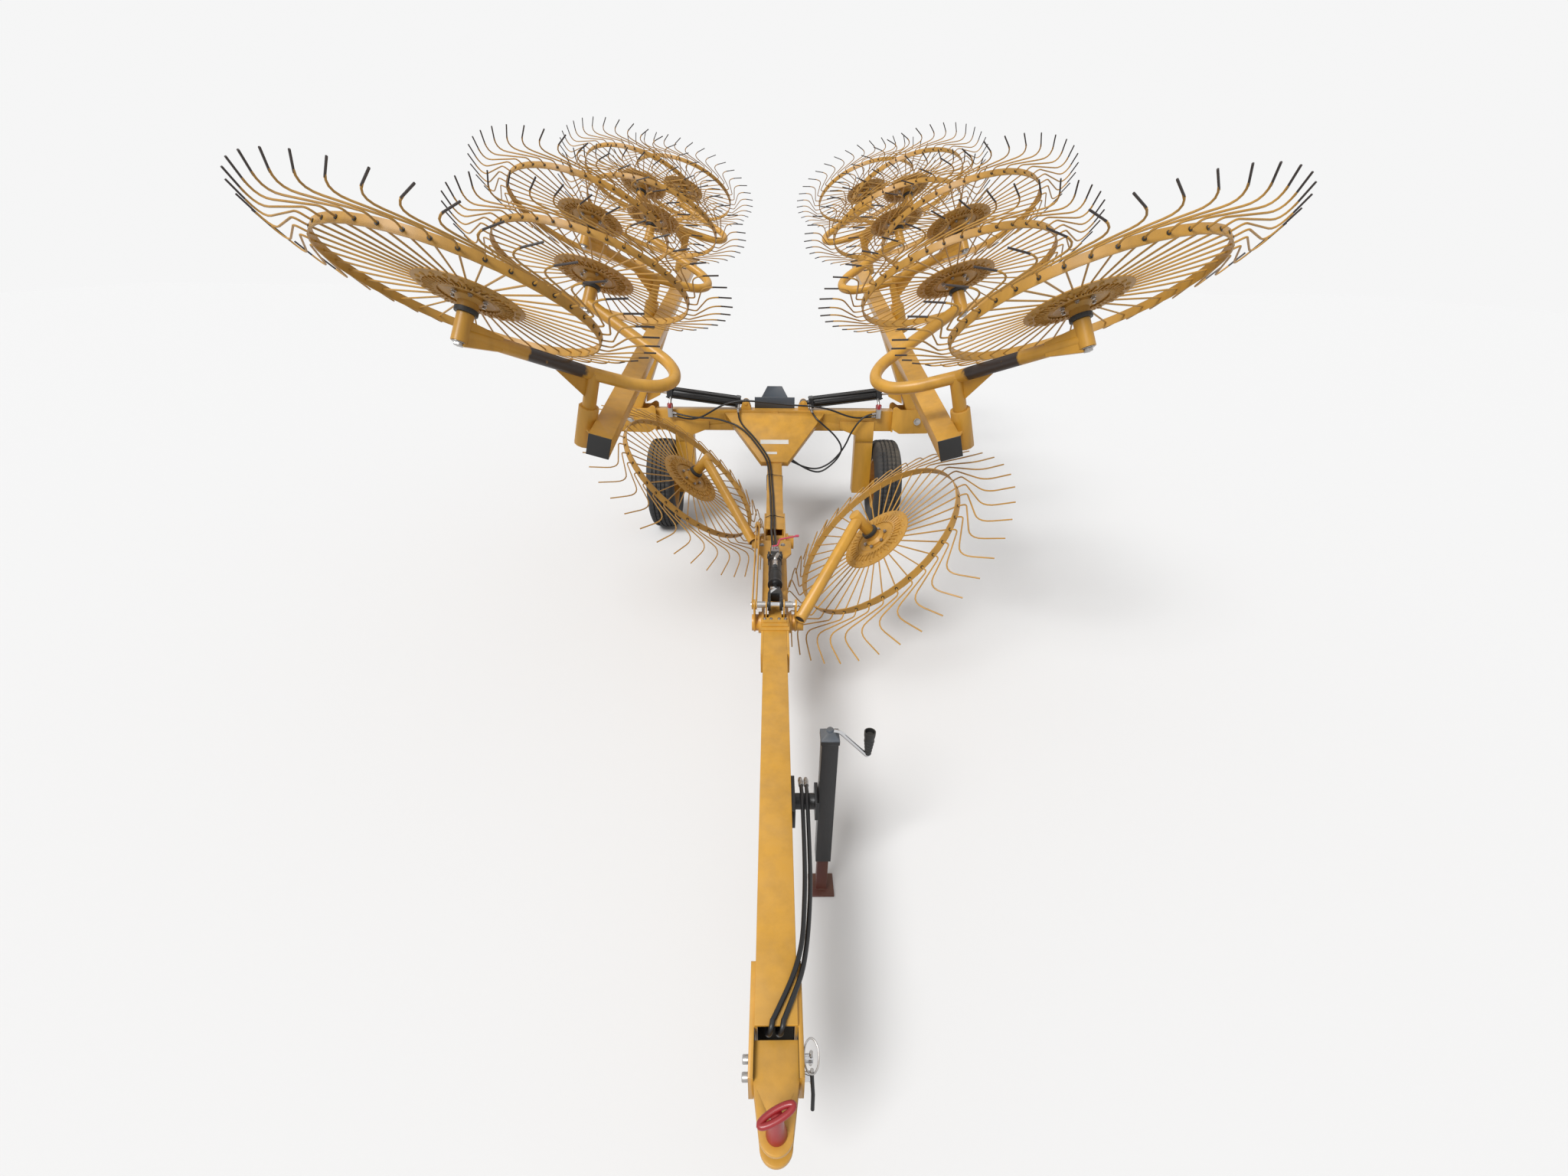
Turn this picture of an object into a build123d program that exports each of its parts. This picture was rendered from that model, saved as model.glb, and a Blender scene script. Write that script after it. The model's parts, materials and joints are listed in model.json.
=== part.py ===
# Wheel rake, a towed V rake for hay with its two booms folded up for the road.
# Millimetres, +Z up, ground at Z = 0, the hitch towards -Y, left boom at -X.
# The origin is on the ground under the middle of the machine's length.
from build123d import *

import os
from math import cos, radians, sin, tan

# Frame along the centre line, distances measured behind the hitch pin
HITCH_Y = -3580.0            # hitch pin, from the middle of the machine
FRAME_SLOPE = 3.5            # degrees, the frame rises towards the rear
BAR_TOP_Z = 430.0            # top face of the drawbar above the hitch pin
BAR_W = 102.0                # square tube of the drawbar
BAR_WALL = 8.0
BAR_START = 195.0
BAR_END = 1800.0

# Hitch: a clevis tongue held by two cross pins between cheeks, and the hitch pin
TONGUE_NOSE_R = 36.0
TONGUE_PLATE_T = 14.0
TONGUE_H = 66.0
TONGUE_REAR = 174.0
TONGUE_PINS = (115.0, 150.0)
TONGUE_PIN_R = 9.0
TONGUE_PIN_PROUD = 14.0
CHEEK_T = 12.0
CHEEK_LEN = 250.0
CHEEK_H = 96.0
CHEEK_START = 92.0
CHEEK_RISE = 30.0            # the lower edge rises this much to the rear
CHEEK_STEP = 12.0            # the rear end lies this far under the bar's top face
PIN_R = 13.0
PIN_FREE_R = 12.0            # turned-down end below the tongue
PIN_FREE = 60.0
PIN_TOP = 62.0               # shank above the tongue
PIN_COLLAR_R = 22.0
PIN_COLLAR_H = 12.0
GRIP_R = 9.0
GRIP_HALF = 52.0
GRIP_SKEW = 20.0
GRIP_TILT = 12.0

# Centre channel that takes the drawbar's rear end and both rockers
CHANNEL_START = 1560.0
CHANNEL_END = 2900.0
CHANNEL_T = 10.0
CHANNEL_H = 170.0
CHANNEL_NOSE = 90.0
CHANNEL_NOSE_H = 95.0
COLLAR_AT = 1790.0
COLLAR_LEN = 30.0
COLLAR_T = 12.0
DECK_T = 10.0
DECK_OUTLINE = ((1925.0, 51.0), (2347.0, 58.0), (2400.0, 87.0), (2540.0, 87.0))  # behind, half width

# Rockers of the two centre wheels
ROCKER_R = 38.0
ROCKER_DROP = 55.0           # axis under the frame's top face
ROCKER_FRONT = 1865.0
ROCKER_REAR = 2645.0
ROCKER_OUT = 130.0           # tube end on the wheel's side
ROCKER_IN = 106.0            # tube end on the other side
HOUSING_R = 50.0
HOUSING_HALF = 76.0
LEVER_UP = 118.0
LEVER_LEAN = 15.0            # degrees, levers lean to the front with the wheels raised
LEVER_T = 8.0
LEVER_EYE_R = 24.0
LEVER_PIN_R = 12.0
LEVER_PIN_PROUD = 4.0
EAR_X = 37.0                 # inner face of the thin ears beside the fork
EAR_T = 6.0
LINK_T = 6.0
LINK_GAP = 1.5
LINK_EYE_R = 22.0
LIFT_ANGLE = 20.0            # degrees from raised to the tines on the ground
CENTRE_HUB = (512.0, 440.0, 228.0)       # wheel centre from the rocker's axis, right side
CENTRE_AXIS = (-0.656, -0.089, 0.749)    # from the wheel to its arm, right side
ARM_FOOT_FRONT = (113.0, -65.0, 61.0)    # arm's lower end from the rocker's axis
ARM_FOOT_REAR = (124.0, -30.0, 20.0)     # lower there, under the link bars
CENTRE_STUB = 150.0
CENTRE_WEB = 0.45            # share of the arm that its web plate reaches

# Rear tube, gusset and cross-beam
REAR_W = 102.0
REAR_START = 60.0            # behind the rear rocker's axis
REAR_END = 4200.0
CROSS_Y = 4175.0
CROSS_DEEP = 100.0
CROSS_H = 150.0
CROSS_TOP = 930.0
CROSS_HALF = 880.0
SLOT_X = 190.0
SLOT_DROP = 55.0
SLOT_L = 62.0
SLOT_H = 22.0
GUSSET_RUN = 405.0           # from the cross-beam's front face forward to its foot
GUSSET_HALF = 330.0
GUSSET_T = 10.0
GUSSET_LIP = 45.0
GUSSET_DROP = 25.0           # its upper edge under the beam's top face
POST_HALF = 25.0
POST_T = 12.0
POST_LEN = 138.0
POST_DROP = 10.0

# Legs, axles and road wheels
LEG_IN = 196.0               # its middle, from the cross-beam's end
LEG_W = 136.0
LEG_BELOW = 60.0             # leg end below the axle
SADDLE_T = 8.0
SADDLE_DROP = 77.0           # its upper edge under the beam's top face
SADDLE_REACH = 124.0         # how far it runs inward from the leg
SADDLE_LIP = 57.0
SADDLE_KNEE = 106.0
SADDLE_FOOT = 153.0
TYRE_R = 345.0
TYRE_W = 205.0
TYRE_IN = 18.0               # its middle, from the cross-beam's end
SHOULDER_H = 40.0
SHOULDER_IN = 42.0
BEAD_IN = 22.0
RIM_R = 198.0
RIM_T = 14.0
RIM_EDGE = 24.0              # rim edge inside the tyre's side
DISH_IN = 5.0
DISH_OUT = 12.0
DISH_HUB = 30.0
DISH_HUB_R = 70.0
AXLE_R = 30.0
AXLE_END = 20.0

# Fold pivots and their brackets at the ends of the cross-beam
FOLD_OUT = 185.0             # pivot beyond the cross-beam's end
FOLD_Z = 865.0
FOLD_PIN_R = 20.0
FOLD_PIN_PROUD = 10.0
BRACKET_T = 12.0
BRACKET_GAP = 150.0
BRACKET_ROUND = 22.0
BRACKET_OUTLINE = (          # along X, height, both from the fold pivot
    (-185.0, 120.0), (-125.0, 82.0), (140.0, 90.0), (175.0, 50.0),
    (175.0, -45.0), (85.0, -90.0), (-125.0, -95.0), (-185.0, -60.0),
)

# Booms: a local plane at the beam's front end, x up, y outward, z to the rear
BEAM_LEAN = 17.0             # degrees from upright, folded
BEAM_RISE = 9.0              # degrees, up to the rear
BEAM_X = 790.0
BEAM_Z = 1222.0
BEAM_FRONT = 2175.0
BEAM_LEN = 4000.0
BEAM_W = 102.0
BEAM_WALL = 8.0
CAP_T = 6.0
SPINDLE_FIRST = 165.0
SPINDLE_LAST = 87.0          # the last one, from the beam's rear end
SPINDLE_COUNT = 3
SOCKET_R = 46.0
SOCKET_LEN = 190.0
SOCKET_SINK = 4.0            # the socket's weld sinks into the beam's wall
SOCKET_WEB = 44.0
SOCKET_WEB_T = 10.0
SPINDLE_HEAD = 250.0
SPINDLE_TOP = 8.0            # spindle above the arms' joint
SPINDLE_FOOT = 6.0
SPINDLE_R = 31.0
UPRIGHT_SLEEVE_R = 36.0
UPRIGHT_W = 90.0
UPRIGHT_DEEP = 128.0
UPRIGHT_SKEW = -22.0         # foot of the beam's seat, outward from its middle
EAR_PLATE_T = 12.0

# Twin arms of a spindle and the hubs of its two rake wheels
ARM_R = 28.0
ARM_SIDES = 12               # sides of the round tubes that repeat along the booms
HUB_SKEW = 35.0              # rake wheel axis, degrees from the boom's up
HUB_STUB = 130.0
HUB_STUB_R = 30.0
HUB_STUB_BACK = 34.0
OUTER_HUB = (286.0, 395.0, -335.0)       # up, outward and rearward from the spindle's head
INNER_HUB = (240.0, 151.0, 578.0)
BENT_ROUTE = (               # up, outward, rearward
    (0.0, 0.0, 0.0), (4.0, -190.0, 10.0), (10.0, -290.0, 50.0),
    (24.0, -345.0, 130.0), (38.0, -338.0, 205.0), (52.0, -290.0, 275.0),
)
ARM_BOX_LEN = 150.0
ARM_BOX_HALF = 24.0
ARM_BOX_LOW = 27.0
ARM_BOX_HIGH = 48.0
ARM_WEB_DOWN = 120.0
ARM_WEB_SHARE = 0.42
ARM_WEB_T = 8.0

# Rake wheel: hub, disc, rim band and tines that leave the rim, sweep back and turn out
WHEEL_RIM_R = 470.0
WHEEL_RIM_T = 5.0
WHEEL_RIM_W = 34.0
WHEEL_DISC_R = 190.0
WHEEL_DISC_T = 8.0
WHEEL_HUB_R = 42.0
WHEEL_HUB_L = 60.0
TINE_COUNT = 20
TINE_R = 4.5
TINE_SINK = 8.0
TINE_OUT = 36.0              # first bend beyond the rim
TINE_SWEEP = (78.0, 244.0, 9.0)          # second bend from the rim: out, across, away from the hub
TINE_TIP = (195.0, 213.0, 97.0)

# Jack on the right of the drawbar
JACK_X = 165.0
JACK_AT = 862.0
JACK_W = 52.0
JACK_LOW = 165.0
JACK_HIGH = 700.0
JACK_CAP_T = 14.0
JACK_CAP_LIP = 3.0
JACK_LEG_W = 38.0
JACK_LEG_TOP = 520.0
JACK_FOOT_W = 90.0
JACK_FOOT_T = 8.0
JACK_PAD_T = 12.0
JACK_PAD_HALF = 75.0
JACK_PAD_H = 78.0
JACK_PAD_DROP = 12.0
JACK_SLEEVE_R = 26.0
JACK_EAR_HALF = 45.0
CRANK_BOSS_R = 22.0
CRANK_BOSS_H = 34.0
CRANK_ARM_UP = 24.0
CRANK_ARM_R = 7.0
CRANK_OUT = 100.0
CRANK_GRIP = 95.0
CRANK_GRIP_R = 14.0

# Short cylinder that works the centre wheels
LIFT_R = 32.0
LIFT_ROD_R = 14.0
LIFT_BASE = 2290.0
LIFT_PIN_UP = 50.0           # base pin over the frame's top face
LIFT_PIN_R = 12.0
LIFT_BARREL = 285.0
LIFT_SHOULDER = 32.0
LIFT_ROD_IN = 110.0
LIFT_EYE_R = 26.0
LIFT_EYE_HALF = 20.0
LUG_T = 10.0
FORK_LEN = 122.0
FORK_BACK = 62.0
FORK_HALF = 34.0
FORK_T = 14.0
FORK_H = 44.0
FORK_EYE_R = 28.0
FORK_PLAY = 6.0

# Long cylinders that fold the booms
FOLD_BASE_X = 215.0
FOLD_BASE_Z = 975.0
FOLD_EYE_X = 870.0
FOLD_EYE_Z = 1060.0
FOLD_RANGE = 75.0            # degrees from folded to spread
FOLD_BARREL = 585.0
FOLD_SHOULDER = 42.0
FOLD_NECK_R = 17.0
FOLD_BASE_PIN_R = 14.0
FOLD_CYL_R = 35.0
FOLD_ROD_R = 16.0
FOLD_ROD_L = 540.0
FOLD_EYE_R = 26.0
FOLD_EYE_HALF = 20.0
FOLD_LUG_T = 12.0
FOLD_LUG_HALF = 38.0

# Sign on the cross-beam's middle
SIGN_BACK = 20.0
SIGN_HALF = 150.0
SIGN_H = 80.0
SIGN_T = 12.0
PLATE_LOW_HALF = 98.0
PLATE_HIGH_HALF = 54.0
PLATE_TOP = 160.0
PLATE_T = 4.0

# Ports of the fold cylinders and the shut-off valve on the deck, where hoses end
PORT_R = 10.0
PORT_IN_AT = 50.0            # inner port, along the cylinder
PORT_IN_END = (270.0, 4098.0, 942.0)     # X, behind the hitch, height
PORT_OUT_AT = 556.0
PORT_OUT_END = (772.0, 4100.0, 978.0)
PORT_BODY_HALF = 17.0
PORT_BODY_LOW = 885.0
VALVE_AT = 2368.0
VALVE_W = 50.0
VALVE_LEN = 64.0
VALVE_H = 44.0

# Hoses: corners of their routes as X, distance behind the hitch, height
HOSE_R = 6.5
HOSE_SIDES = 8
HOSE_REACH = 0.45            # share of the shorter run that a corner's arc takes
HOSE_PAIR = 9.0              # half the distance between the two hoses on the frame
RIGHT_INNER = (              # from the rear tube's side down, out and up to the inner port
    (53.4, 4046.0, 618.0), (110.0, 4046.0, 600.0), (181.0, 4046.0, 543.0), (270.0, 4044.0, 494.0),
    (350.0, 4044.0, 478.0), (428.0, 4046.0, 531.0), (491.0, 4048.0, 602.0), (514.0, 4050.0, 675.0),
    (455.0, 4036.0, 768.0), (352.0, 4008.0, 860.0), (292.0, 4036.0, 906.0), (270.6, 4096.0, 940.6),
)
RIGHT_OUTER = (              # from the same side in a wider loop to the outer port
    (54.2, 4066.0, 594.0), (128.0, 4068.0, 560.0), (231.0, 4068.0, 512.0), (329.0, 4068.0, 496.0),
    (425.0, 4068.0, 542.0), (499.0, 4070.0, 622.0), (545.0, 4072.0, 701.0), (572.0, 4076.0, 775.0),
    (632.0, 4084.0, 868.0), (692.0, 4090.0, 912.0), (753.7, 4092.0, 920.0),
)
CROSS_OVER = (               # over the cross-beam from the right outer port to the left one
    (753.4, 4108.0, 897.0), (645.0, 4108.0, 878.0), (539.0, 4080.0, 901.0), (425.0, 4060.0, 950.0),
    (310.0, 4060.0, 975.0), (190.0, 4058.0, 982.0), (70.0, 4060.0, 988.0), (-62.0, 4058.0, 1003.0),
    (-180.0, 4060.0, 1014.0), (-284.0, 4060.0, 1009.0), (-380.0, 4062.0, 984.0), (-462.0, 4064.0, 936.0),
    (-552.0, 4068.0, 884.0), (-658.0, 4090.0, 866.0), (-752.4, 4108.0, 895.0),
)
LEFT_OUTER = (               # from the left outer port to the gusset's foot
    (-752.5, 4092.0, 918.0), (-650.0, 4064.0, 896.0), (-541.0, 4038.0, 893.0), (-444.0, 4020.0, 896.0),
    (-349.0, 4000.0, 876.0), (-262.0, 3980.0, 850.0), (-180.0, 3905.0, 800.0), (-106.0, 3797.0, 734.0),
    (-60.0, 3722.0, 689.0),
)
LEFT_INNER = (               # from the left inner port to the gusset's foot
    (-269.9, 4096.3, 940.4), (-268.0, 4045.0, 900.0), (-236.0, 3980.0, 855.0), (-154.0, 3896.0, 799.0),
    (-81.0, 3790.0, 733.0), (-39.0, 3716.0, 689.0),
)
FRAME_RUN = (                # middle of the pair on the frame: X, behind the hitch, above the frame
    (-34.0, 3610.0, 6.8), (-28.0, 3460.0, 6.8), (-24.0, 3300.0, 6.8), (-17.0, 3140.0, 6.8),
    (-15.0, 2980.0, 6.8), (-10.0, 2820.0, 6.8), (-12.0, 2665.0, 15.0), (-6.0, 2525.0, 32.3),
    (-3.0, 2400.3, 32.3),
)
DRAWBAR_INNER = (            # from the drawbar's mouth back to the jack's bracket
    (-8.0, 199.0, 449.1), (20.0, 250.0, 452.8), (48.0, 308.0, 457.8), (69.0, 385.0, 452.0),
    (77.0, 474.0, 444.0), (84.0, 575.0, 438.0), (86.0, 680.0, 448.0), (86.0, 775.0, 461.0),
    (86.0, 860.0, 469.5), (85.0, 930.0, 440.0),
)
DRAWBAR_OUTER = (
    (18.0, 199.0, 449.1), (42.0, 250.0, 455.0), (65.0, 304.0, 454.0), (81.0, 386.0, 438.0),
    (92.0, 477.0, 430.0), (100.0, 575.0, 426.0), (102.0, 680.0, 436.0), (102.0, 775.0, 455.0),
    (102.0, 860.0, 469.8), (103.0, 930.0, 440.0),
)

# Small shared sizes
RUN_GAP = 0.5                # radial clearance of a pivot
SIDE_GAP = 6.0               # clearance beside a moving piece
SEAT = 0.3                   # a curved piece stands this far off its seat

os.makedirs("parts", exist_ok=True)


def save(builder, node):
    builder.part.label = node
    export_step(builder.part, f"parts/{node}.step")


def save_pair(builder, node):
    """Write the right piece and its mirror image on the left."""
    save(builder, f"{node}_right")
    with BuildPart() as twin:
        mirror(builder.part, about=Plane.YZ)
    save(twin, f"{node}_left")


def behind(distance):
    """Y of a place that lies this far behind the hitch pin."""
    return HITCH_Y + distance


def frame_top(distance):
    """Height of the sloping frame's top face behind the hitch pin."""
    return BAR_TOP_Z + distance * tan(radians(FRAME_SLOPE))


def frame_axis(distance):
    """Middle of the square frame tube behind the hitch pin."""
    return (0, behind(distance), frame_top(distance) - BAR_W / 2)


def plane_from_to(start, end, x_dir):
    """Plane at start that looks along the line to end."""
    return Plane(origin=start, x_dir=x_dir, z_dir=Vector(*end) - Vector(*start))


def distance_between(start, end):
    return (Vector(*end) - Vector(*start)).length


def tube_between(start, end, width, height, wall, x_dir=(1, 0, 0)):
    """Open rectangular tube from start to end, its width along x_dir."""
    with BuildPart() as tube:
        with BuildSketch(plane_from_to(start, end, x_dir)):
            Rectangle(width, height)
            Rectangle(width - 2 * wall, height - 2 * wall, mode=Mode.SUBTRACT)
        extrude(amount=distance_between(start, end))
    return tube.part


def rod_between(start, end, radius, x_dir=(1, 0, 0)):
    """Round bar from start to end."""
    with BuildPart() as bar:
        with BuildSketch(plane_from_to(start, end, x_dir)):
            Circle(radius)
        extrude(amount=distance_between(start, end))
    return bar.part


def faced_rod(start, end, radius, x_dir=(0, 1, 0)):
    """Bar with few flat sides from start to end, for round stock that repeats."""
    with BuildPart() as bar:
        with BuildSketch(plane_from_to(start, end, x_dir)):
            RegularPolygon(radius, ARM_SIDES)
        extrude(amount=distance_between(start, end))
    return bar.part


def cross_rod(radius, x_start, x_end, y, z):
    """Round bar along X."""
    return rod_between((x_start, y, z), (x_end, y, z), radius, x_dir=(0, 0, 1))


def cross_pin(radius, x_start, x_end, y, z):
    """Plain pin along X with few flat sides."""
    return faced_rod((x_start, y, z), (x_end, y, z), radius)


def side_plate(outline, x_start, thickness):
    """Plate across X with its outline given as (Y, Z) points."""
    with BuildPart() as plate:
        with BuildSketch(Plane(origin=(x_start, 0, 0), x_dir=(0, 1, 0), z_dir=(1, 0, 0))):
            with BuildLine():
                Polyline(*outline, close=True)
            make_face()
        extrude(amount=thickness)
    return plate.part


def front_plate(outline, y_start, thickness, rounding=0):
    """Plate across Y with its outline given as (X, Z) points."""
    with BuildPart() as plate:
        with BuildSketch(Plane(origin=(0, y_start, 0), x_dir=(1, 0, 0), z_dir=(0, -1, 0))) as face:
            with BuildLine():
                Polyline(*outline, close=True)
            make_face()
            if rounding:
                fillet(face.vertices(), radius=rounding)
        extrude(amount=-thickness)
    return plate.part


def web_plate(corners, thickness):
    """Flat plate through three or more corners, centred on their plane."""
    points = [Vector(*corner) for corner in corners]
    along = points[1] - points[0]
    plane = Plane(origin=points[0], x_dir=along, z_dir=along.cross(points[2] - points[0]))
    local = [plane.to_local_coords(point) for point in points]
    with BuildPart() as plate:
        with BuildSketch(plane):
            with BuildLine():
                Polyline(*[(point.X, point.Y) for point in local], close=True)
            make_face()
        extrude(amount=thickness / 2, both=True)
    return plate.part


def lug(plane, head_r, foot, foot_half, thickness):
    """Ear with a round head at the plane's origin and a flat foot below it."""
    with BuildPart() as ear:
        with BuildSketch(plane):
            Circle(head_r)
            with Locations((0, -foot)):
                Rectangle(2 * foot_half, head_r / 2, align=(Align.CENTER, Align.MIN))
            make_hull()
        extrude(amount=thickness)
    return ear.part


def block(x_range, y_range, z_range):
    """Plain box between two corners."""
    with BuildPart() as box:
        with Locations((x_range[0], y_range[0], z_range[0])):
            Box(
                x_range[1] - x_range[0],
                y_range[1] - y_range[0],
                z_range[1] - z_range[0],
                align=(Align.MIN, Align.MIN, Align.MIN),
            )
    return box.part


# Drawbar: the square tube from the hitch back into the centre channel
tongue_mid_z = BAR_TOP_Z - CHEEK_H / 2
cheek_low = BAR_TOP_Z - CHEEK_H
cheek_end = CHEEK_START + CHEEK_LEN
with BuildPart() as drawbar:
    add(side_plate([
        (behind(CHEEK_START), cheek_low),
        (behind(cheek_end), cheek_low + CHEEK_RISE),
        (behind(cheek_end), frame_top(cheek_end) - CHEEK_STEP),
        (behind(CHEEK_START), BAR_TOP_Z),
    ], BAR_W / 2, CHEEK_T))
    mirror(about=Plane.YZ)
    add(tube_between(frame_axis(BAR_START), frame_axis(BAR_END), BAR_W, BAR_W, BAR_WALL))
    for pin_at in TONGUE_PINS:
        hole = cross_pin(TONGUE_PIN_R + RUN_GAP, -BAR_W, BAR_W, behind(pin_at), tongue_mid_z)
        add(hole, mode=Mode.SUBTRACT)
save(drawbar, "drawbar")

# Tongue: two round-nosed plates on a web, held between the cheeks by its cross pins
tongue_half = BAR_W / 2
tongue_low = tongue_mid_z - TONGUE_H / 2
tongue_top = tongue_mid_z + TONGUE_H / 2
with BuildPart() as hitch_tongue:
    for level in (tongue_low, tongue_top - TONGUE_PLATE_T):
        with BuildSketch(Plane.XY.offset(level)):
            with BuildLine():
                Polyline(
                    (-TONGUE_NOSE_R, HITCH_Y),
                    (-tongue_half, behind(CHEEK_START)),
                    (-tongue_half, behind(TONGUE_REAR)),
                    (tongue_half, behind(TONGUE_REAR)),
                    (tongue_half, behind(CHEEK_START)),
                    (TONGUE_NOSE_R, HITCH_Y),
                )
                ThreePointArc(
                    (TONGUE_NOSE_R, HITCH_Y), (0, HITCH_Y - TONGUE_NOSE_R), (-TONGUE_NOSE_R, HITCH_Y)
                )
            make_face()
            with Locations((0, HITCH_Y)):
                Circle(PIN_R + RUN_GAP, mode=Mode.SUBTRACT)
        extrude(amount=TONGUE_PLATE_T)
    add(block(
        (-tongue_half, tongue_half), (behind(CHEEK_START), behind(TONGUE_REAR)), (tongue_low, tongue_top),
    ))
    pin_half = tongue_half + CHEEK_T + TONGUE_PIN_PROUD
    for pin_at in TONGUE_PINS:
        add(cross_pin(TONGUE_PIN_R, -pin_half, pin_half, behind(pin_at), tongue_mid_z))
save(hitch_tongue, "hitch_tongue")

# Hitch pin: shank with a turned-down end, a collar and a slanted grip
pin_end = tongue_top + PIN_TOP
with BuildPart() as hitch_pin:
    add(rod_between((0, HITCH_Y, tongue_low), (0, HITCH_Y, pin_end), PIN_R))
    add(rod_between((0, HITCH_Y, tongue_low - PIN_FREE), (0, HITCH_Y, tongue_low), PIN_FREE_R))
    add(rod_between((0, HITCH_Y, tongue_top), (0, HITCH_Y, tongue_top + PIN_COLLAR_H), PIN_COLLAR_R))
    add(faced_rod(
        (-GRIP_HALF, HITCH_Y - GRIP_SKEW, pin_end - GRIP_TILT),
        (GRIP_HALF, HITCH_Y + GRIP_SKEW, pin_end + GRIP_TILT),
        GRIP_R,
    ))
save(hitch_pin, "hitch_pin")

# Jack bracket on the drawbar's right side
jack_y = behind(JACK_AT)
jack_half = JACK_W / 2
jack_side = JACK_X - jack_half
pad_top = frame_top(JACK_AT) - JACK_PAD_DROP
pad_low = pad_top - JACK_PAD_H
sleeve_z = (pad_top + pad_low) / 2
with BuildPart() as jack_bracket:
    add(block(
        (BAR_W / 2, BAR_W / 2 + JACK_PAD_T), (jack_y - JACK_PAD_HALF, jack_y + JACK_PAD_HALF), (pad_low, pad_top),
    ))
    add(cross_rod(JACK_SLEEVE_R, BAR_W / 2, jack_side, jack_y, sleeve_z))
    add(block(
        (jack_side - JACK_PAD_T, jack_side), (jack_y - JACK_EAR_HALF, jack_y + JACK_EAR_HALF), (pad_low, pad_top),
    ))
save(jack_bracket, "jack_bracket")

# Jack: outer tube with its cap, inner leg with the foot plate, crank on top
jack_bore = JACK_LEG_W + 2 * SEAT
cap_half = jack_half + JACK_CAP_LIP
crank_z = JACK_HIGH + JACK_CAP_T
with BuildPart() as jack_tube:
    add(tube_between(
        (JACK_X, jack_y, JACK_LOW), (JACK_X, jack_y, JACK_HIGH), JACK_W, JACK_W, (JACK_W - jack_bore) / 2,
    ))
    add(block(
        (JACK_X - cap_half, JACK_X + cap_half), (jack_y - cap_half, jack_y + cap_half), (JACK_HIGH, crank_z),
    ))
save(jack_tube, "jack_tube")

leg_half = JACK_LEG_W / 2
foot_half = JACK_FOOT_W / 2
with BuildPart() as jack_leg:
    add(block(
        (JACK_X - leg_half, JACK_X + leg_half), (jack_y - leg_half, jack_y + leg_half), (JACK_FOOT_T, JACK_LEG_TOP),
    ))
    add(block(
        (JACK_X - foot_half, JACK_X + foot_half), (jack_y - foot_half, jack_y + foot_half), (0, JACK_FOOT_T),
    ))
save(jack_leg, "jack_leg")

arm_z = crank_z + CRANK_ARM_UP
grip_x = JACK_X + CRANK_OUT
with BuildPart() as jack_crank:
    add(faced_rod((JACK_X, jack_y, crank_z), (JACK_X, jack_y, crank_z + CRANK_BOSS_H), CRANK_BOSS_R))
    add(cross_pin(CRANK_ARM_R, JACK_X, grip_x, jack_y, arm_z))
    grip_top = arm_z + CRANK_ARM_R
    add(faced_rod((grip_x, jack_y, grip_top - CRANK_GRIP), (grip_x, jack_y, grip_top), CRANK_GRIP_R))
save(jack_crank, "jack_crank")

# Centre channel: side plates with the rockers' housings, a collar and the deck plate
rocker_at = {"front": ROCKER_FRONT, "rear": ROCKER_REAR}
rocker_y = {place: behind(rocker_at[place]) for place in rocker_at}
rocker_z = {place: frame_top(rocker_at[place]) - ROCKER_DROP for place in rocker_at}
channel_side = BAR_W / 2 + CHANNEL_T
nose_end = CHANNEL_START + CHANNEL_NOSE
frame_tilt = radians(FRAME_SLOPE)
with BuildPart() as centre_channel:
    add(side_plate([
        (behind(CHANNEL_START), frame_top(CHANNEL_START) - CHANNEL_NOSE_H),
        (behind(nose_end), frame_top(nose_end) - CHANNEL_H),
        (behind(CHANNEL_END), frame_top(CHANNEL_END) - CHANNEL_H),
        (behind(CHANNEL_END), frame_top(CHANNEL_END)),
        (behind(CHANNEL_START), frame_top(CHANNEL_START)),
    ], BAR_W / 2, CHANNEL_T))
    for place in rocker_at:
        add(cross_pin(HOUSING_R, channel_side, HOUSING_HALF, rocker_y[place], rocker_z[place]))
        bore = cross_rod(ROCKER_R + RUN_GAP, 0, BAR_W, rocker_y[place], rocker_z[place])
        add(bore, mode=Mode.SUBTRACT)
    mirror(about=Plane.YZ)
    deck_plane = Plane(
        origin=(0, HITCH_Y, BAR_TOP_Z), x_dir=(1, 0, 0), z_dir=(0, -sin(frame_tilt), cos(frame_tilt))
    )
    with BuildSketch(deck_plane):
        with BuildLine():
            right_edge = [(half, back / cos(frame_tilt)) for back, half in DECK_OUTLINE]
            left_edge = [(-half, back) for half, back in reversed(right_edge)]
            Polyline(*right_edge, *left_edge, close=True)
        make_face()
    extrude(amount=DECK_T)
    with BuildSketch(deck_plane.offset(SEAT)):
        with Locations((0, COLLAR_AT)):
            Rectangle(2 * channel_side, COLLAR_LEN)
    extrude(amount=COLLAR_T)
    for side in (-1, 1):
        with BuildSketch(deck_plane.offset(-COLLAR_T)):
            with Locations((side * (channel_side - CHANNEL_T / 2), COLLAR_AT)):
                Rectangle(CHANNEL_T, COLLAR_LEN)
        extrude(amount=2 * COLLAR_T)
save(centre_channel, "centre_channel")

# Rear tube from the channel to under the cross-beam
with BuildPart() as rear_tube:
    add(tube_between(
        frame_axis(ROCKER_REAR + REAR_START), frame_axis(REAR_END), REAR_W, BAR_W, BAR_WALL,
    ))
save(rear_tube, "rear_tube")

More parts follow.
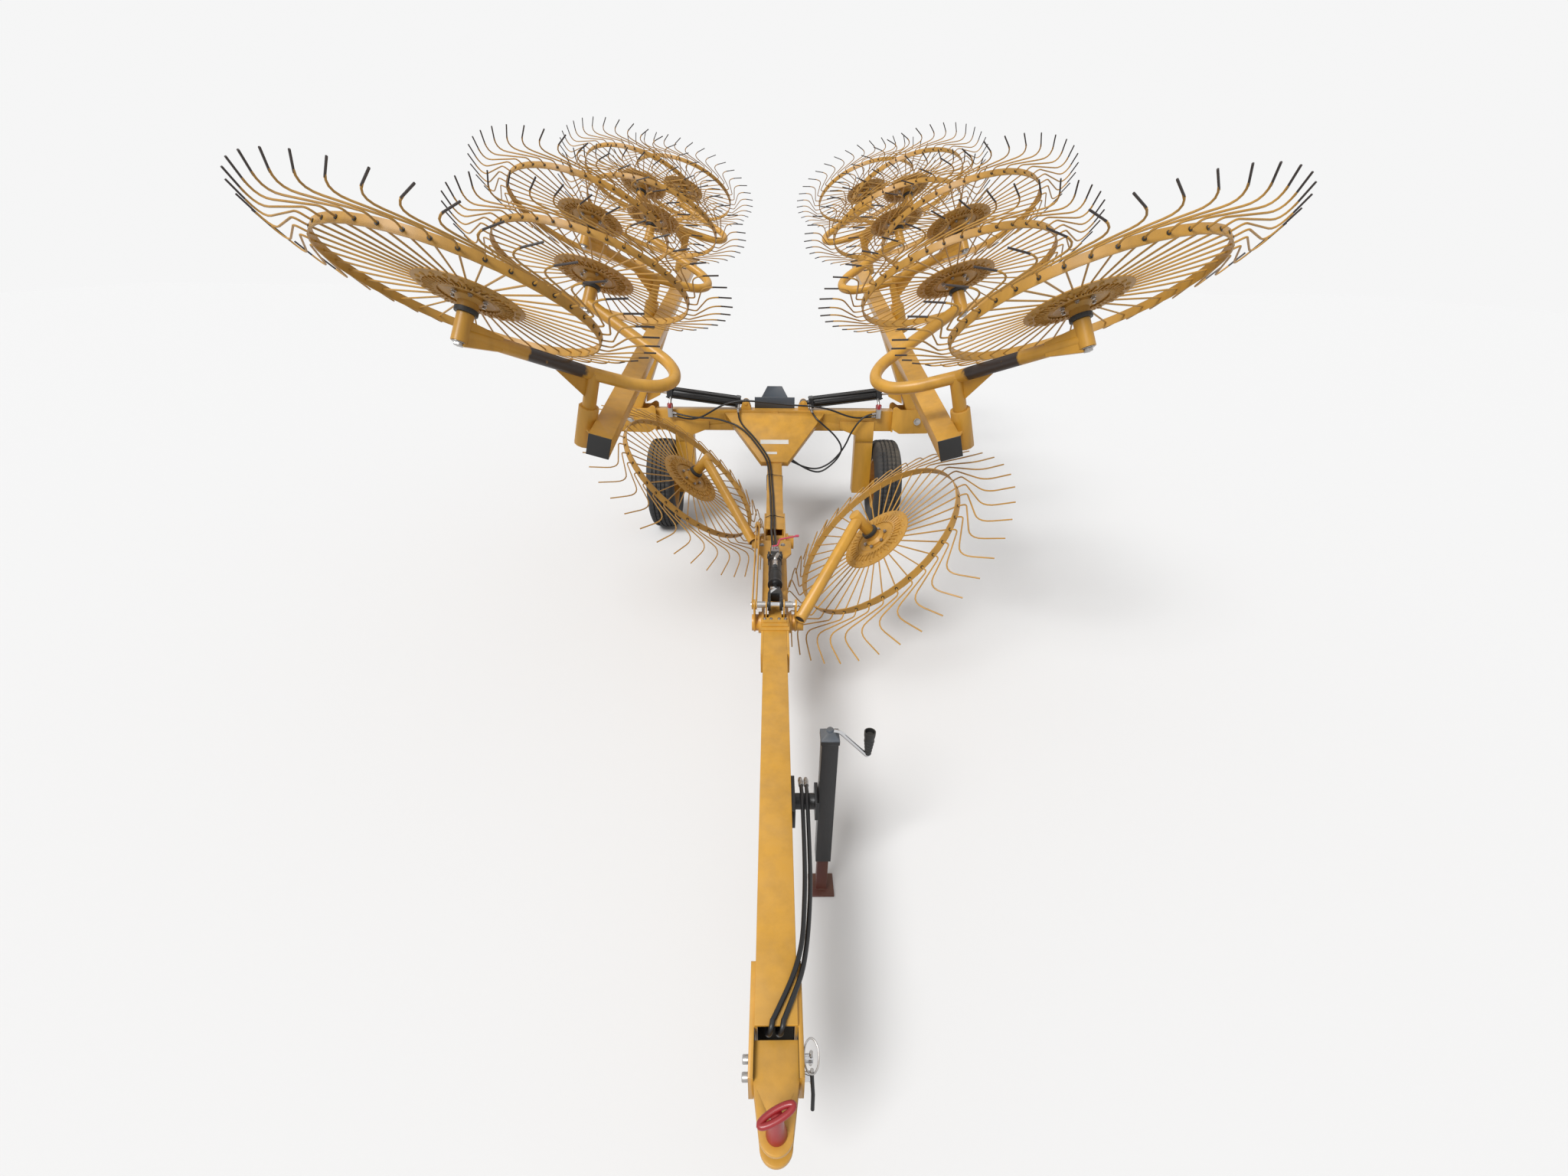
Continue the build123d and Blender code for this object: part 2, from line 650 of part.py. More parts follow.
# Cross-beam with two hand slots in its front wall
cross_y = behind(CROSS_Y)
cross_low = CROSS_TOP - CROSS_H
cross_front = cross_y - CROSS_DEEP / 2
cross_mid = CROSS_TOP - CROSS_H / 2
with BuildPart() as cross_beam:
    add(tube_between(
        (-CROSS_HALF, cross_y, cross_mid), (CROSS_HALF, cross_y, cross_mid),
        CROSS_DEEP, CROSS_H, BAR_WALL, (0, 1, 0),
    ))
    with BuildSketch(Plane(origin=(0, cross_front, CROSS_TOP - SLOT_DROP), x_dir=(1, 0, 0), z_dir=(0, -1, 0))):
        with Locations((-SLOT_X, 0), (SLOT_X, 0)):
            SlotOverall(SLOT_L, SLOT_H)
    extrude(amount=-BAR_WALL, mode=Mode.SUBTRACT)
save(cross_beam, "cross_beam")

# Gusset: a sloping plate with flanged edges from the rear tube up to the beam, and a post
foot_y = cross_front - GUSSET_RUN
foot_z = frame_top(foot_y - HITCH_Y)
gusset_rise = CROSS_TOP - GUSSET_DROP - foot_z
gusset_len = Vector(GUSSET_RUN, gusset_rise).length
gusset_plane = Plane(origin=(0, foot_y, foot_z), x_dir=(1, 0, 0), z_dir=(0, -gusset_rise, GUSSET_RUN))
with BuildPart() as gusset:
    with BuildSketch(gusset_plane.offset(GUSSET_T)):
        with BuildLine():
            Polyline(
                (REAR_W / 2, 0), (GUSSET_HALF, gusset_len), (GUSSET_HALF + GUSSET_LIP, gusset_len),
                (REAR_W / 2 + GUSSET_LIP, 0), close=True,
            )
        make_face()
    extrude(amount=-GUSSET_LIP)
    mirror(about=Plane.YZ)
    with BuildSketch(gusset_plane):
        with BuildLine():
            Polyline(
                (-REAR_W / 2, 0), (REAR_W / 2, 0),
                (GUSSET_HALF, gusset_len), (-GUSSET_HALF, gusset_len), close=True,
            )
        make_face()
    extrude(amount=GUSSET_T)
    post_top = CROSS_TOP - POST_DROP
    add(block(
        (-POST_HALF, POST_HALF), (cross_front - POST_T, cross_front), (post_top - POST_LEN, post_top),
    ))
    behind_front = block((-CROSS_HALF, CROSS_HALF), (cross_front, cross_y), (0, 2 * CROSS_TOP))
    add(behind_front, mode=Mode.SUBTRACT)
save(gusset, "gusset")

# Sign: a shallow box on the beam's middle with a tapered plate behind it
sign_y = cross_y + SIGN_BACK
with BuildPart() as sign_plate:
    add(front_plate([
        (-SIGN_HALF, CROSS_TOP), (SIGN_HALF, CROSS_TOP),
        (SIGN_HALF, CROSS_TOP + SIGN_H), (-SIGN_HALF, CROSS_TOP + SIGN_H),
    ], sign_y, SIGN_T))
    add(front_plate([
        (-PLATE_LOW_HALF, CROSS_TOP + SIGN_H / 2), (PLATE_LOW_HALF, CROSS_TOP + SIGN_H / 2),
        (PLATE_LOW_HALF, CROSS_TOP + SIGN_H),
        (PLATE_HIGH_HALF, CROSS_TOP + PLATE_TOP), (-PLATE_HIGH_HALF, CROSS_TOP + PLATE_TOP),
        (-PLATE_LOW_HALF, CROSS_TOP + SIGN_H),
    ], sign_y + SIGN_T, PLATE_T))
save(sign_plate, "sign_plate")

# Legs under the cross-beam with their saddle plates and the axle stubs
leg_x = CROSS_HALF - LEG_IN
tyre_x = CROSS_HALF - TYRE_IN
leg_in = leg_x - LEG_W / 2
leg_out = leg_x + LEG_W / 2
saddle_top = CROSS_TOP - SADDLE_DROP
saddle_outline = [
    (leg_in - SADDLE_REACH, saddle_top), (leg_out, saddle_top),
    (leg_out, saddle_top - SADDLE_FOOT), (leg_in, saddle_top - SADDLE_FOOT),
    (leg_in, saddle_top - SADDLE_KNEE), (leg_in - SADDLE_REACH, saddle_top - SADDLE_LIP),
]
with BuildPart() as legs:
    add(tube_between(
        (leg_x, cross_y, cross_low), (leg_x, cross_y, TYRE_R - LEG_BELOW), LEG_W, CROSS_DEEP, BAR_WALL,
    ))
    for plate_y in (cross_front - SADDLE_T, cross_y + CROSS_DEEP / 2):
        add(front_plate(saddle_outline, plate_y, SADDLE_T))
    add(cross_rod(AXLE_R, leg_out, tyre_x + AXLE_END, cross_y, TYRE_R))
    mirror(about=Plane.YZ)
save(legs, "legs")

# Road wheels: tyre and dished rim, each turned about the axle
wheel_section = Plane(origin=(tyre_x, cross_y, TYRE_R), x_dir=(0, 0, 1), z_dir=(0, 1, 0))
wheel_axis = Axis(wheel_section.origin, (1, 0, 0))
tyre_half = TYRE_W / 2
bead_half = tyre_half - BEAD_IN
tread_half = tyre_half - SHOULDER_IN
with BuildPart() as tyre:
    with BuildSketch(wheel_section):
        with BuildLine():
            Polyline(
                (RIM_R, -bead_half), (TYRE_R - SHOULDER_H, -tyre_half), (TYRE_R, -tread_half),
                (TYRE_R, tread_half), (TYRE_R - SHOULDER_H, tyre_half), (RIM_R, bead_half), close=True,
            )
        make_face()
    revolve(axis=wheel_axis)
save_pair(tyre, "tyre")

seat_r = RIM_R - SEAT
well_r = RIM_R - RIM_T
rim_half = tyre_half - RIM_EDGE
with BuildPart() as rim:
    with BuildSketch(wheel_section):
        with BuildLine():
            Polyline(
                (AXLE_R + RUN_GAP, DISH_IN), (AXLE_R + RUN_GAP, DISH_HUB), (DISH_HUB_R, DISH_HUB),
                (well_r, DISH_OUT), (well_r, rim_half), (seat_r, rim_half),
                (seat_r, -rim_half), (well_r, -rim_half), (well_r, DISH_IN), close=True,
            )
        make_face()
    revolve(axis=wheel_axis)
save_pair(rim, "rim")

# Boom plane at the right beam's front end: x up, y outward, z to the rear
lean = radians(BEAM_LEAN)
rise = radians(BEAM_RISE)
beam_dir = Vector(0, cos(rise), sin(rise))
beam_up = Vector(-sin(lean), -sin(rise) * cos(lean), cos(rise) * cos(lean)).normalized()
boom_plane = Plane(origin=(BEAM_X, behind(BEAM_FRONT), BEAM_Z), x_dir=beam_up, z_dir=beam_dir)
beam_out = boom_plane.y_dir
spindle_pitch = (BEAM_LEN - SPINDLE_FIRST - SPINDLE_LAST) / (SPINDLE_COUNT - 1)
spindles = [SPINDLE_FIRST + index * spindle_pitch for index in range(SPINDLE_COUNT)]
socket_out = BEAM_W / 2 + SOCKET_R
spindle_out = socket_out - SOCKET_SINK


def on_boom(up, out, along):
    """World point of a place given in the right boom's own plane."""
    return tuple(boom_plane.from_local_coords(Vector(up, out, along)))


def along_boom(distance):
    """Plane across the boom's beam at this distance from its front end."""
    return Plane(origin=on_boom(0, 0, distance), x_dir=beam_up, z_dir=beam_dir)


with BuildPart() as beam:
    add(tube_between(on_boom(0, 0, 0), on_boom(0, 0, BEAM_LEN), BEAM_W, BEAM_W, BEAM_WALL, beam_up))
    for along in spindles:
        low = on_boom(-SOCKET_LEN / 2, spindle_out, along)
        high = on_boom(SOCKET_LEN / 2, spindle_out, along)
        add(faced_rod(low, high, SOCKET_R, beam_out))
        web_low = Plane(origin=on_boom(-SOCKET_WEB_T / 2, 0, along), x_dir=beam_out, z_dir=beam_up)
        with BuildSketch(web_low):
            with BuildLine():
                Polyline(
                    (BEAM_W / 2, -SOCKET_R - SOCKET_WEB), (socket_out, -SOCKET_R / 2),
                    (socket_out, SOCKET_R / 2), (BEAM_W / 2, SOCKET_R + SOCKET_WEB), close=True,
                )
            make_face()
        extrude(amount=SOCKET_WEB_T)
        add(faced_rod(low, high, SPINDLE_R + RUN_GAP, beam_out), mode=Mode.SUBTRACT)
save_pair(beam, "beam")

with BuildPart() as beam_cap:
    with BuildSketch(along_boom(-CAP_T)):
        Rectangle(BEAM_W, BEAM_W)
    extrude(amount=CAP_T)
save_pair(beam_cap, "beam_cap")

# End brackets of the cross-beam: two shaped plates on a web, with the fold pin
fold_x = CROSS_HALF + FOLD_OUT
bracket_half = BRACKET_GAP / 2
bracket_outline = [(fold_x + dx, FOLD_Z + dz) for dx, dz in BRACKET_OUTLINE]
with BuildPart() as end_brackets:
    for face_y in (cross_y - bracket_half - BRACKET_T, cross_y + bracket_half):
        add(front_plate(bracket_outline, face_y, BRACKET_T, BRACKET_ROUND))
    add(block(
        (CROSS_HALF, CROSS_HALF + BRACKET_T), (cross_y - bracket_half, cross_y + bracket_half),
        (cross_low, CROSS_TOP),
    ))
    pin_half = bracket_half + BRACKET_T + FOLD_PIN_PROUD
    add(faced_rod(
        (fold_x, cross_y - pin_half, FOLD_Z), (fold_x, cross_y + pin_half, FOLD_Z), FOLD_PIN_R, (1, 0, 0),
    ))
    mirror(about=Plane.YZ)
save(end_brackets, "end_brackets")

# Upright: sleeve on the fold pin, box tube up to the beam and two ears for the cylinder
sleeve_half = bracket_half - SIDE_GAP
beam_over_cross = (CROSS_Y - BEAM_FRONT) / cos(rise)
seat_x, seat_y, seat_z = on_boom(-BEAM_W / 2, UPRIGHT_SKEW, beam_over_cross)
box_top = (seat_x, cross_y, seat_z + BEAM_W / 2)
with BuildPart() as upright:
    add(rod_between(
        (fold_x, cross_y - sleeve_half, FOLD_Z), (fold_x, cross_y + sleeve_half, FOLD_Z), UPRIGHT_SLEEVE_R,
    ))
    add(tube_between((fold_x, cross_y, FOLD_Z), box_top, UPRIGHT_DEEP, UPRIGHT_W, BEAM_WALL, (0, 1, 0)))
    bore = rod_between(
        (fold_x, cross_y - BRACKET_GAP, FOLD_Z), (fold_x, cross_y + BRACKET_GAP, FOLD_Z),
        FOLD_PIN_R + RUN_GAP,
    )
    add(bore, mode=Mode.SUBTRACT)
    ear_foot_x = (fold_x + seat_x) / 2
    for ear_y in (cross_y - FOLD_EYE_HALF - SIDE_GAP - EAR_PLATE_T, cross_y + FOLD_EYE_HALF + SIDE_GAP):
        add(front_plate([
            (FOLD_EYE_X - FOLD_EYE_R, FOLD_EYE_Z - FOLD_EYE_R), (FOLD_EYE_X - FOLD_EYE_R, FOLD_EYE_Z + FOLD_EYE_R),
            (ear_foot_x, FOLD_EYE_Z + 2 * FOLD_EYE_R), (ear_foot_x + FOLD_EYE_R, FOLD_EYE_Z - 3 * FOLD_EYE_R),
        ], ear_y, EAR_PLATE_T))
    with BuildSketch(Plane(origin=on_boom(-BEAM_W / 2, 0, 0), x_dir=beam_out, z_dir=beam_up)):
        with Locations((0, beam_over_cross)):
            Rectangle(2 * fold_x, BEAM_LEN)
    extrude(amount=fold_x, mode=Mode.SUBTRACT)
save_pair(upright, "upright")

# Fold cylinder: barrel pinned at the middle, rod with its eye between the upright's ears
fold_base = (FOLD_BASE_X, cross_y, FOLD_BASE_Z)
fold_eye = (FOLD_EYE_X, cross_y, FOLD_EYE_Z)
fold_line = Vector(*fold_eye) - Vector(*fold_base)
fold_dir = fold_line.normalized()
fold_length = fold_line.length


def on_fold(distance):
    """World point along the fold cylinder from its base pin."""
    return tuple(Vector(*fold_base) + fold_dir * distance)


def eye_across(centre, radius, half):
    """Round eye across Y."""
    x, y, z = centre
    return rod_between((x, y - half, z), (x, y + half, z), radius)


fold_rod_end = fold_length - FOLD_EYE_R / 2
fold_rod_start = fold_rod_end - FOLD_ROD_L
with BuildPart() as fold_barrel:
    add(rod_between(on_fold(FOLD_SHOULDER), on_fold(FOLD_BARREL), FOLD_CYL_R))
    add(faced_rod(on_fold(0), on_fold(FOLD_SHOULDER), FOLD_NECK_R))
    add(eye_across(fold_base, FOLD_EYE_R, FOLD_EYE_HALF))
    for port_at, (x, back, z) in ((PORT_IN_AT, PORT_IN_END), (PORT_OUT_AT, PORT_OUT_END)):
        add(faced_rod(on_fold(port_at), (x, behind(back), z), PORT_R))
    port_x, port_back, port_z = PORT_OUT_END
    add(block(
        (port_x - PORT_BODY_HALF, port_x + PORT_BODY_HALF),
        (behind(port_back) - PORT_BODY_HALF, behind(port_back) + PORT_BODY_HALF), (PORT_BODY_LOW, port_z),
    ))
    add(rod_between(on_fold(2 * FOLD_SHOULDER), on_fold(FOLD_BARREL), FOLD_ROD_R + SEAT), mode=Mode.SUBTRACT)
    base_bore = faced_rod(
        (FOLD_BASE_X, cross_y - CROSS_DEEP, FOLD_BASE_Z), (FOLD_BASE_X, cross_y + CROSS_DEEP, FOLD_BASE_Z),
        FOLD_BASE_PIN_R + RUN_GAP, (1, 0, 0),
    )
    add(base_bore, mode=Mode.SUBTRACT)
save_pair(fold_barrel, "fold_barrel")

with BuildPart() as fold_rod:
    add(rod_between(on_fold(fold_rod_start), on_fold(fold_rod_end), FOLD_ROD_R))
    add(eye_across(fold_eye, FOLD_EYE_R, FOLD_EYE_HALF))
save_pair(fold_rod, "fold_rod")

# Lugs on the cross-beam for the cylinders' base pins
with BuildPart() as base_lugs:
    for lug_y in (cross_y - FOLD_EYE_HALF - SIDE_GAP - FOLD_LUG_T, cross_y + FOLD_EYE_HALF + SIDE_GAP):
        lug_plane = Plane(
            origin=(FOLD_BASE_X, lug_y + FOLD_LUG_T, FOLD_BASE_Z), x_dir=(1, 0, 0), z_dir=(0, -1, 0)
        )
        add(lug(lug_plane, FOLD_EYE_R, FOLD_BASE_Z - CROSS_TOP, FOLD_LUG_HALF, FOLD_LUG_T))
    base_pin_half = FOLD_EYE_HALF + SIDE_GAP + FOLD_LUG_T + LEVER_PIN_PROUD
    add(faced_rod(
        (FOLD_BASE_X, cross_y - base_pin_half, FOLD_BASE_Z), (FOLD_BASE_X, cross_y + base_pin_half, FOLD_BASE_Z),
        FOLD_BASE_PIN_R, (1, 0, 0),
    ))
    mirror(about=Plane.YZ)
save(base_lugs, "base_lugs")

# Rake wheel, built once round its own axis with the hub towards -Z
pitch = 360 / TINE_COUNT
tine_route = [
    (WHEEL_DISC_R - TINE_SINK, 0, 0),
    (WHEEL_RIM_R + TINE_OUT, 0, 0),
    (WHEEL_RIM_R + TINE_SWEEP[0], TINE_SWEEP[1], TINE_SWEEP[2]),
    (WHEEL_RIM_R + TINE_TIP[0], TINE_TIP[1], TINE_TIP[2]),
]
with BuildPart() as tine:
    with BuildLine() as tine_line:
        Polyline(*tine_route)
    with BuildSketch(Plane(origin=tine_route[0], x_dir=(0, 1, 0), z_dir=(1, 0, 0))):
        RegularPolygon(TINE_R, 3)
    sweep(path=tine_line.line, transition=Transition.RIGHT)
with BuildPart() as rake_wheel:
    with BuildSketch(Plane.XY.offset(-WHEEL_RIM_W / 2)):
        RegularPolygon(WHEEL_RIM_R, TINE_COUNT)
        RegularPolygon(WHEEL_RIM_R - WHEEL_RIM_T, TINE_COUNT, mode=Mode.SUBTRACT)
    extrude(amount=WHEEL_RIM_W)
    with BuildSketch(Plane.XY.offset(-WHEEL_DISC_T)):
        RegularPolygon(WHEEL_DISC_R, TINE_COUNT)
    extrude(amount=2 * WHEEL_DISC_T)
    with BuildSketch(Plane.XY.offset(-WHEEL_HUB_L)):
        Circle(WHEEL_HUB_R)
    extrude(amount=WHEEL_HUB_L)
    with PolarLocations(0, TINE_COUNT, start_angle=pitch / 2):
        add(tine.part)

hub_dir_local = Vector(cos(radians(HUB_SKEW)), 0, sin(radians(HUB_SKEW)))
hub_world = boom_plane.from_local_coords(hub_dir_local) - boom_plane.origin


def from_head(offset, along):
    """World point of an offset from the head of the spindle at this place on the beam."""
    return on_boom(SPINDLE_HEAD + offset[0], socket_out + offset[1], along + offset[2])


def wheel_at(centre, axis):
    """Rake wheel with its hub turned against the axis."""
    with BuildPart() as placed:
        with Locations(Plane(origin=centre, x_dir=(1, 0, 0), z_dir=axis).location):
            add(rake_wheel.part)
    return placed


wheel_number = 0
for along in spindles:
    for hub in (OUTER_HUB, INNER_HUB):
        wheel_number += 1
        save_pair(wheel_at(from_head(hub, along), hub_world), f"rake_wheel_{wheel_number}")

# Twin arms: a spindle in each socket, a straight tube out and a bent tube in
arm_joint = (0, 0, 0)
with BuildPart() as arms:
    for along in spindles:
        foot = on_boom(-SOCKET_LEN / 2 - SPINDLE_FOOT, spindle_out, along)
        head = from_head((SPINDLE_TOP, -SOCKET_SINK, 0), along)
        add(faced_rod(foot, head, SPINDLE_R, beam_out))
        for hub in (OUTER_HUB, INNER_HUB):
            back = Vector(*hub) - hub_dir_local * (HUB_STUB + HUB_STUB_BACK)
            near = Vector(*hub) - hub_dir_local * (WHEEL_HUB_L + SEAT)
            add(faced_rod(from_head(tuple(back), along), from_head(tuple(near), along), HUB_STUB_R, beam_out))
        arm_start = from_head(arm_joint, along)
        arm_end = from_head(tuple(Vector(*OUTER_HUB) - hub_dir_local * HUB_STUB), along)
        add(faced_rod(arm_start, arm_end, ARM_R))
        arm_length = distance_between(arm_start, arm_end)
        arm_dir = (Vector(*arm_end) - Vector(*arm_start)).normalized()
        with BuildSketch(Plane(origin=arm_start, x_dir=arm_dir, z_dir=arm_dir.cross(hub_world))):
            with BuildLine():
                Polyline(
                    (arm_length - ARM_BOX_LEN, -ARM_BOX_LOW), (arm_length - ARM_BOX_LEN, ARM_BOX_LOW),
                    (arm_length, ARM_BOX_HIGH), (arm_length, -ARM_BOX_HIGH), close=True,
                )
            make_face()
        extrude(amount=ARM_BOX_HALF, both=True)
        web_end = Vector(*arm_start) + arm_dir * arm_length * ARM_WEB_SHARE
        add(web_plate([from_head((-ARM_WEB_DOWN, 0, 0), along), arm_start, tuple(web_end)], ARM_WEB_T))
        bent = [from_head(point, along) for point in BENT_ROUTE]
        bent.append(from_head(tuple(Vector(*INNER_HUB) - hub_dir_local * HUB_STUB), along))
        with BuildLine() as bent_line:
            Polyline(*bent)
        with BuildSketch(plane_from_to(bent[0], bent[1], beam_up)):
            RegularPolygon(ARM_R, ARM_SIDES)
        sweep(path=bent_line.line, transition=Transition.RIGHT)
save_pair(arms, "arms")

# Rockers: tube through the channel, levers, arm with its web plate and hub stub
lever_y = -LEVER_UP * sin(radians(LEVER_LEAN))
lever_z = LEVER_UP * cos(radians(LEVER_LEAN))
link_in = HOUSING_HALF + SIDE_GAP
lever_in = link_in + LINK_T + LINK_GAP
lever_out = lever_in + LEVER_T
link_out = lever_out + LINK_GAP


def lever(place, x_start, thickness):
    """Flat lever from a rocker's axis up to its pin."""
    with BuildPart() as flat:
        origin = (x_start, rocker_y[place], rocker_z[place])
        with BuildSketch(Plane(origin=origin, x_dir=(0, 1, 0), z_dir=(1, 0, 0))):
            Circle(ROCKER_R + BAR_WALL / 2)
            with Locations((lever_y, lever_z)):
                Circle(LEVER_EYE_R)
            make_hull()
        extrude(amount=thickness)
    return flat.part


for place, side, foot in (("front", 1, ARM_FOOT_FRONT), ("rear", -1, ARM_FOOT_REAR)):
    axis_y = rocker_y[place]
    axis_z = rocker_z[place]
    hub_centre = Vector(side * CENTRE_HUB[0], axis_y + CENTRE_HUB[1], axis_z + CENTRE_HUB[2])
    hub_axis = Vector(side * CENTRE_AXIS[0], CENTRE_AXIS[1], CENTRE_AXIS[2])
    arm_foot = Vector(side * foot[0], axis_y + foot[1], axis_z + foot[2])
    arm_far = hub_centre + hub_axis * CENTRE_STUB
    web_far = arm_foot + (arm_far - arm_foot) * CENTRE_WEB
    stub_start = hub_centre + hub_axis * (WHEEL_HUB_L + SEAT)
    stub_end = arm_far + hub_axis * HUB_STUB_BACK
    pin_left = -link_out - LINK_T - LEVER_PIN_PROUD
    pin_y = axis_y + lever_y
    pin_z = axis_z + lever_z
    with BuildPart() as rocker:
        add(cross_rod(ROCKER_R, -side * ROCKER_IN, side * ROCKER_OUT, axis_y, axis_z))
        add(lever(place, -lever_out, LEVER_T))
        if place == "front":
            add(lever(place, lever_in, LEVER_T))
            add(lever(place, EAR_X, EAR_T))
            add(lever(place, -EAR_X - EAR_T, EAR_T))
            add(cross_pin(LEVER_PIN_R, pin_left, lever_out + LEVER_PIN_PROUD, pin_y, pin_z))
        else:
            add(cross_pin(LEVER_PIN_R, pin_left, LEVER_PIN_PROUD - link_in, pin_y, pin_z))
        add(faced_rod(tuple(arm_foot), tuple(arm_far), ARM_R))
        add(faced_rod(tuple(stub_start), tuple(stub_end), HUB_STUB_R))
        add(web_plate([
            tuple(arm_foot), tuple(web_far), (side * (ROCKER_OUT - ROCKER_R / 2), axis_y, axis_z),
        ], LEVER_T))
    save(rocker, f"rocker_{place}")

front_hub = (CENTRE_HUB[0], rocker_y["front"] + CENTRE_HUB[1], rocker_z["front"] + CENTRE_HUB[2])
centre_wheel_front = wheel_at(front_hub, -Vector(*CENTRE_AXIS))
save(centre_wheel_front, "centre_wheel_front")
rear_hub = (CENTRE_HUB[0], rocker_y["rear"] + CENTRE_HUB[1], rocker_z["rear"] + CENTRE_HUB[2])
with BuildPart() as centre_wheel_rear:
    mirror(wheel_at(rear_hub, -Vector(*CENTRE_AXIS)).part, about=Plane.YZ)
save(centre_wheel_rear, "centre_wheel_rear")

# Twin link bars that hold the two levers on the left between them
link_y = {place: rocker_y[place] + lever_y for place in rocker_y}
link_z = {place: rocker_z[place] + lever_z for place in rocker_z}
link_far = (link_y["rear"] - link_y["front"], link_z["rear"] - link_z["front"])
with BuildPart() as link_bars:
    for x_start in (-link_in - LINK_T, -link_out - LINK_T):
        origin = (x_start, link_y["front"], link_z["front"])
        with BuildSketch(Plane(origin=origin, x_dir=(0, 1, 0), z_dir=(1, 0, 0))):
            with Locations((0, 0), link_far):
                Circle(LINK_EYE_R)
            make_hull()
            with Locations((0, 0), link_far):
                RegularPolygon(LEVER_PIN_R + RUN_GAP, ARM_SIDES, mode=Mode.SUBTRACT)
        extrude(amount=LINK_T)
save(link_bars, "link_bars")

# Lift cylinder on top of the channel with its fork on the front levers' pin
fork_pin = (0, link_y["front"], link_z["front"])
lift_base = (0, behind(LIFT_BASE), frame_top(LIFT_BASE) + LIFT_PIN_UP)
lift_dir = (Vector(*fork_pin) - Vector(*lift_base)).normalized()
lift_length = distance_between(lift_base, fork_pin)


def on_lift(distance):
    """World point along the lift cylinder from its base pin."""
    return tuple(Vector(*lift_base) + lift_dir * distance)


with BuildPart() as lift_barrel:
    add(rod_between(on_lift(LIFT_SHOULDER), on_lift(LIFT_BARREL), LIFT_R))
    add(faced_rod(on_lift(0), on_lift(LIFT_SHOULDER), LIFT_ROD_R, (1, 0, 0)))
    add(cross_rod(LIFT_EYE_R, -LIFT_EYE_HALF, LIFT_EYE_HALF, lift_base[1], lift_base[2]))
    bore_start = on_lift(LIFT_ROD_IN / 2)
    add(rod_between(bore_start, on_lift(LIFT_BARREL), LIFT_ROD_R + SEAT), mode=Mode.SUBTRACT)
    lift_bore = cross_pin(LIFT_PIN_R + RUN_GAP, -LIFT_R, LIFT_R, lift_base[1], lift_base[2])
    add(lift_bore, mode=Mode.SUBTRACT)
save(lift_barrel, "lift_barrel")

with BuildPart() as lift_rod:
    add(rod_between(on_lift(LIFT_ROD_IN), on_lift(lift_length - FORK_BACK), LIFT_ROD_R))
    for x_start in (-FORK_HALF, FORK_HALF - FORK_T):
        fork_origin = Vector(*fork_pin) + Vector(x_start, 0, 0)
        with BuildSketch(Plane(origin=fork_origin, x_dir=-lift_dir, z_dir=(1, 0, 0))):
            Circle(FORK_EYE_R)
            Rectangle(FORK_BACK, FORK_H, align=(Align.MIN, Align.CENTER))
            RegularPolygon(LEVER_PIN_R + FORK_PLAY, ARM_SIDES, mode=Mode.SUBTRACT)
        extrude(amount=FORK_T)
    with BuildSketch(Plane(origin=on_lift(lift_length - FORK_LEN), x_dir=(1, 0, 0), z_dir=lift_dir)):
        Rectangle(FORK_H, FORK_H)
    with BuildSketch(Plane(origin=on_lift(lift_length - FORK_BACK), x_dir=(1, 0, 0), z_dir=lift_dir)):
        Rectangle(2 * FORK_HALF, FORK_H)
    loft()
save(lift_rod, "lift_rod")

deck_top = frame_top(LIFT_BASE) + DECK_T / cos(frame_tilt)
with BuildPart() as lift_lugs:
    lug_plane = Plane(
        origin=(LIFT_EYE_HALF + SIDE_GAP, lift_base[1], lift_base[2]), x_dir=(0, 1, 0), z_dir=(1, 0, 0)
    )
    lug_rise = LIFT_EYE_R * tan(frame_tilt)
    add(lug(lug_plane, LIFT_EYE_R, lift_base[2] - deck_top - lug_rise, LIFT_EYE_R, LUG_T))
    pin_half = LIFT_EYE_HALF + SIDE_GAP + LUG_T + LEVER_PIN_PROUD
    add(cross_pin(LIFT_PIN_R, 0, pin_half, lift_base[1], lift_base[2]))
    mirror(about=Plane.YZ)
save(lift_lugs, "lift_lugs")

# Shut-off valve on the deck, where the left hoses end
with BuildPart() as shut_off_valve:
    with BuildSketch(deck_plane.offset(DECK_T + SEAT)):
        with Locations((0, VALVE_AT / cos(frame_tilt))):
            Rectangle(VALVE_W, VALVE_LEN)
    extrude(amount=VALVE_H)
save(shut_off_valve, "shut_off_valve")


def on_frame(x, distance, above):
    """Corner of a route given above the frame's sloping top face."""
    point = deck_plane.from_local_coords(Vector(x, distance / cos(frame_tilt), above))
    return tuple(point)


def hose(node, corners):
    """Hose of straight runs and of arcs as large as the runs allow."""
    points = [Vector(*corner) for corner in corners]
    bends = []
    for before, corner, after in zip(points, points[1:], points[2:]):
        arriving = corner - before
        leaving = after - corner
        shorter = min(arriving.length, leaving.length)
        bends.append(HOSE_REACH * shorter / tan(radians(arriving.get_angle(leaving) / 2)))
    print(node, "arc radii", [round(bend) for bend in bends])
    with BuildPart() as tube:
        with BuildLine() as route:
            FilletPolyline(*points, radius=bends)
        with BuildSketch(plane_from_to(points[0], points[1], (0, 0, 1))):
            RegularPolygon(HOSE_R, HOSE_SIDES)
        sweep(path=route.line)
    save(tube, node)


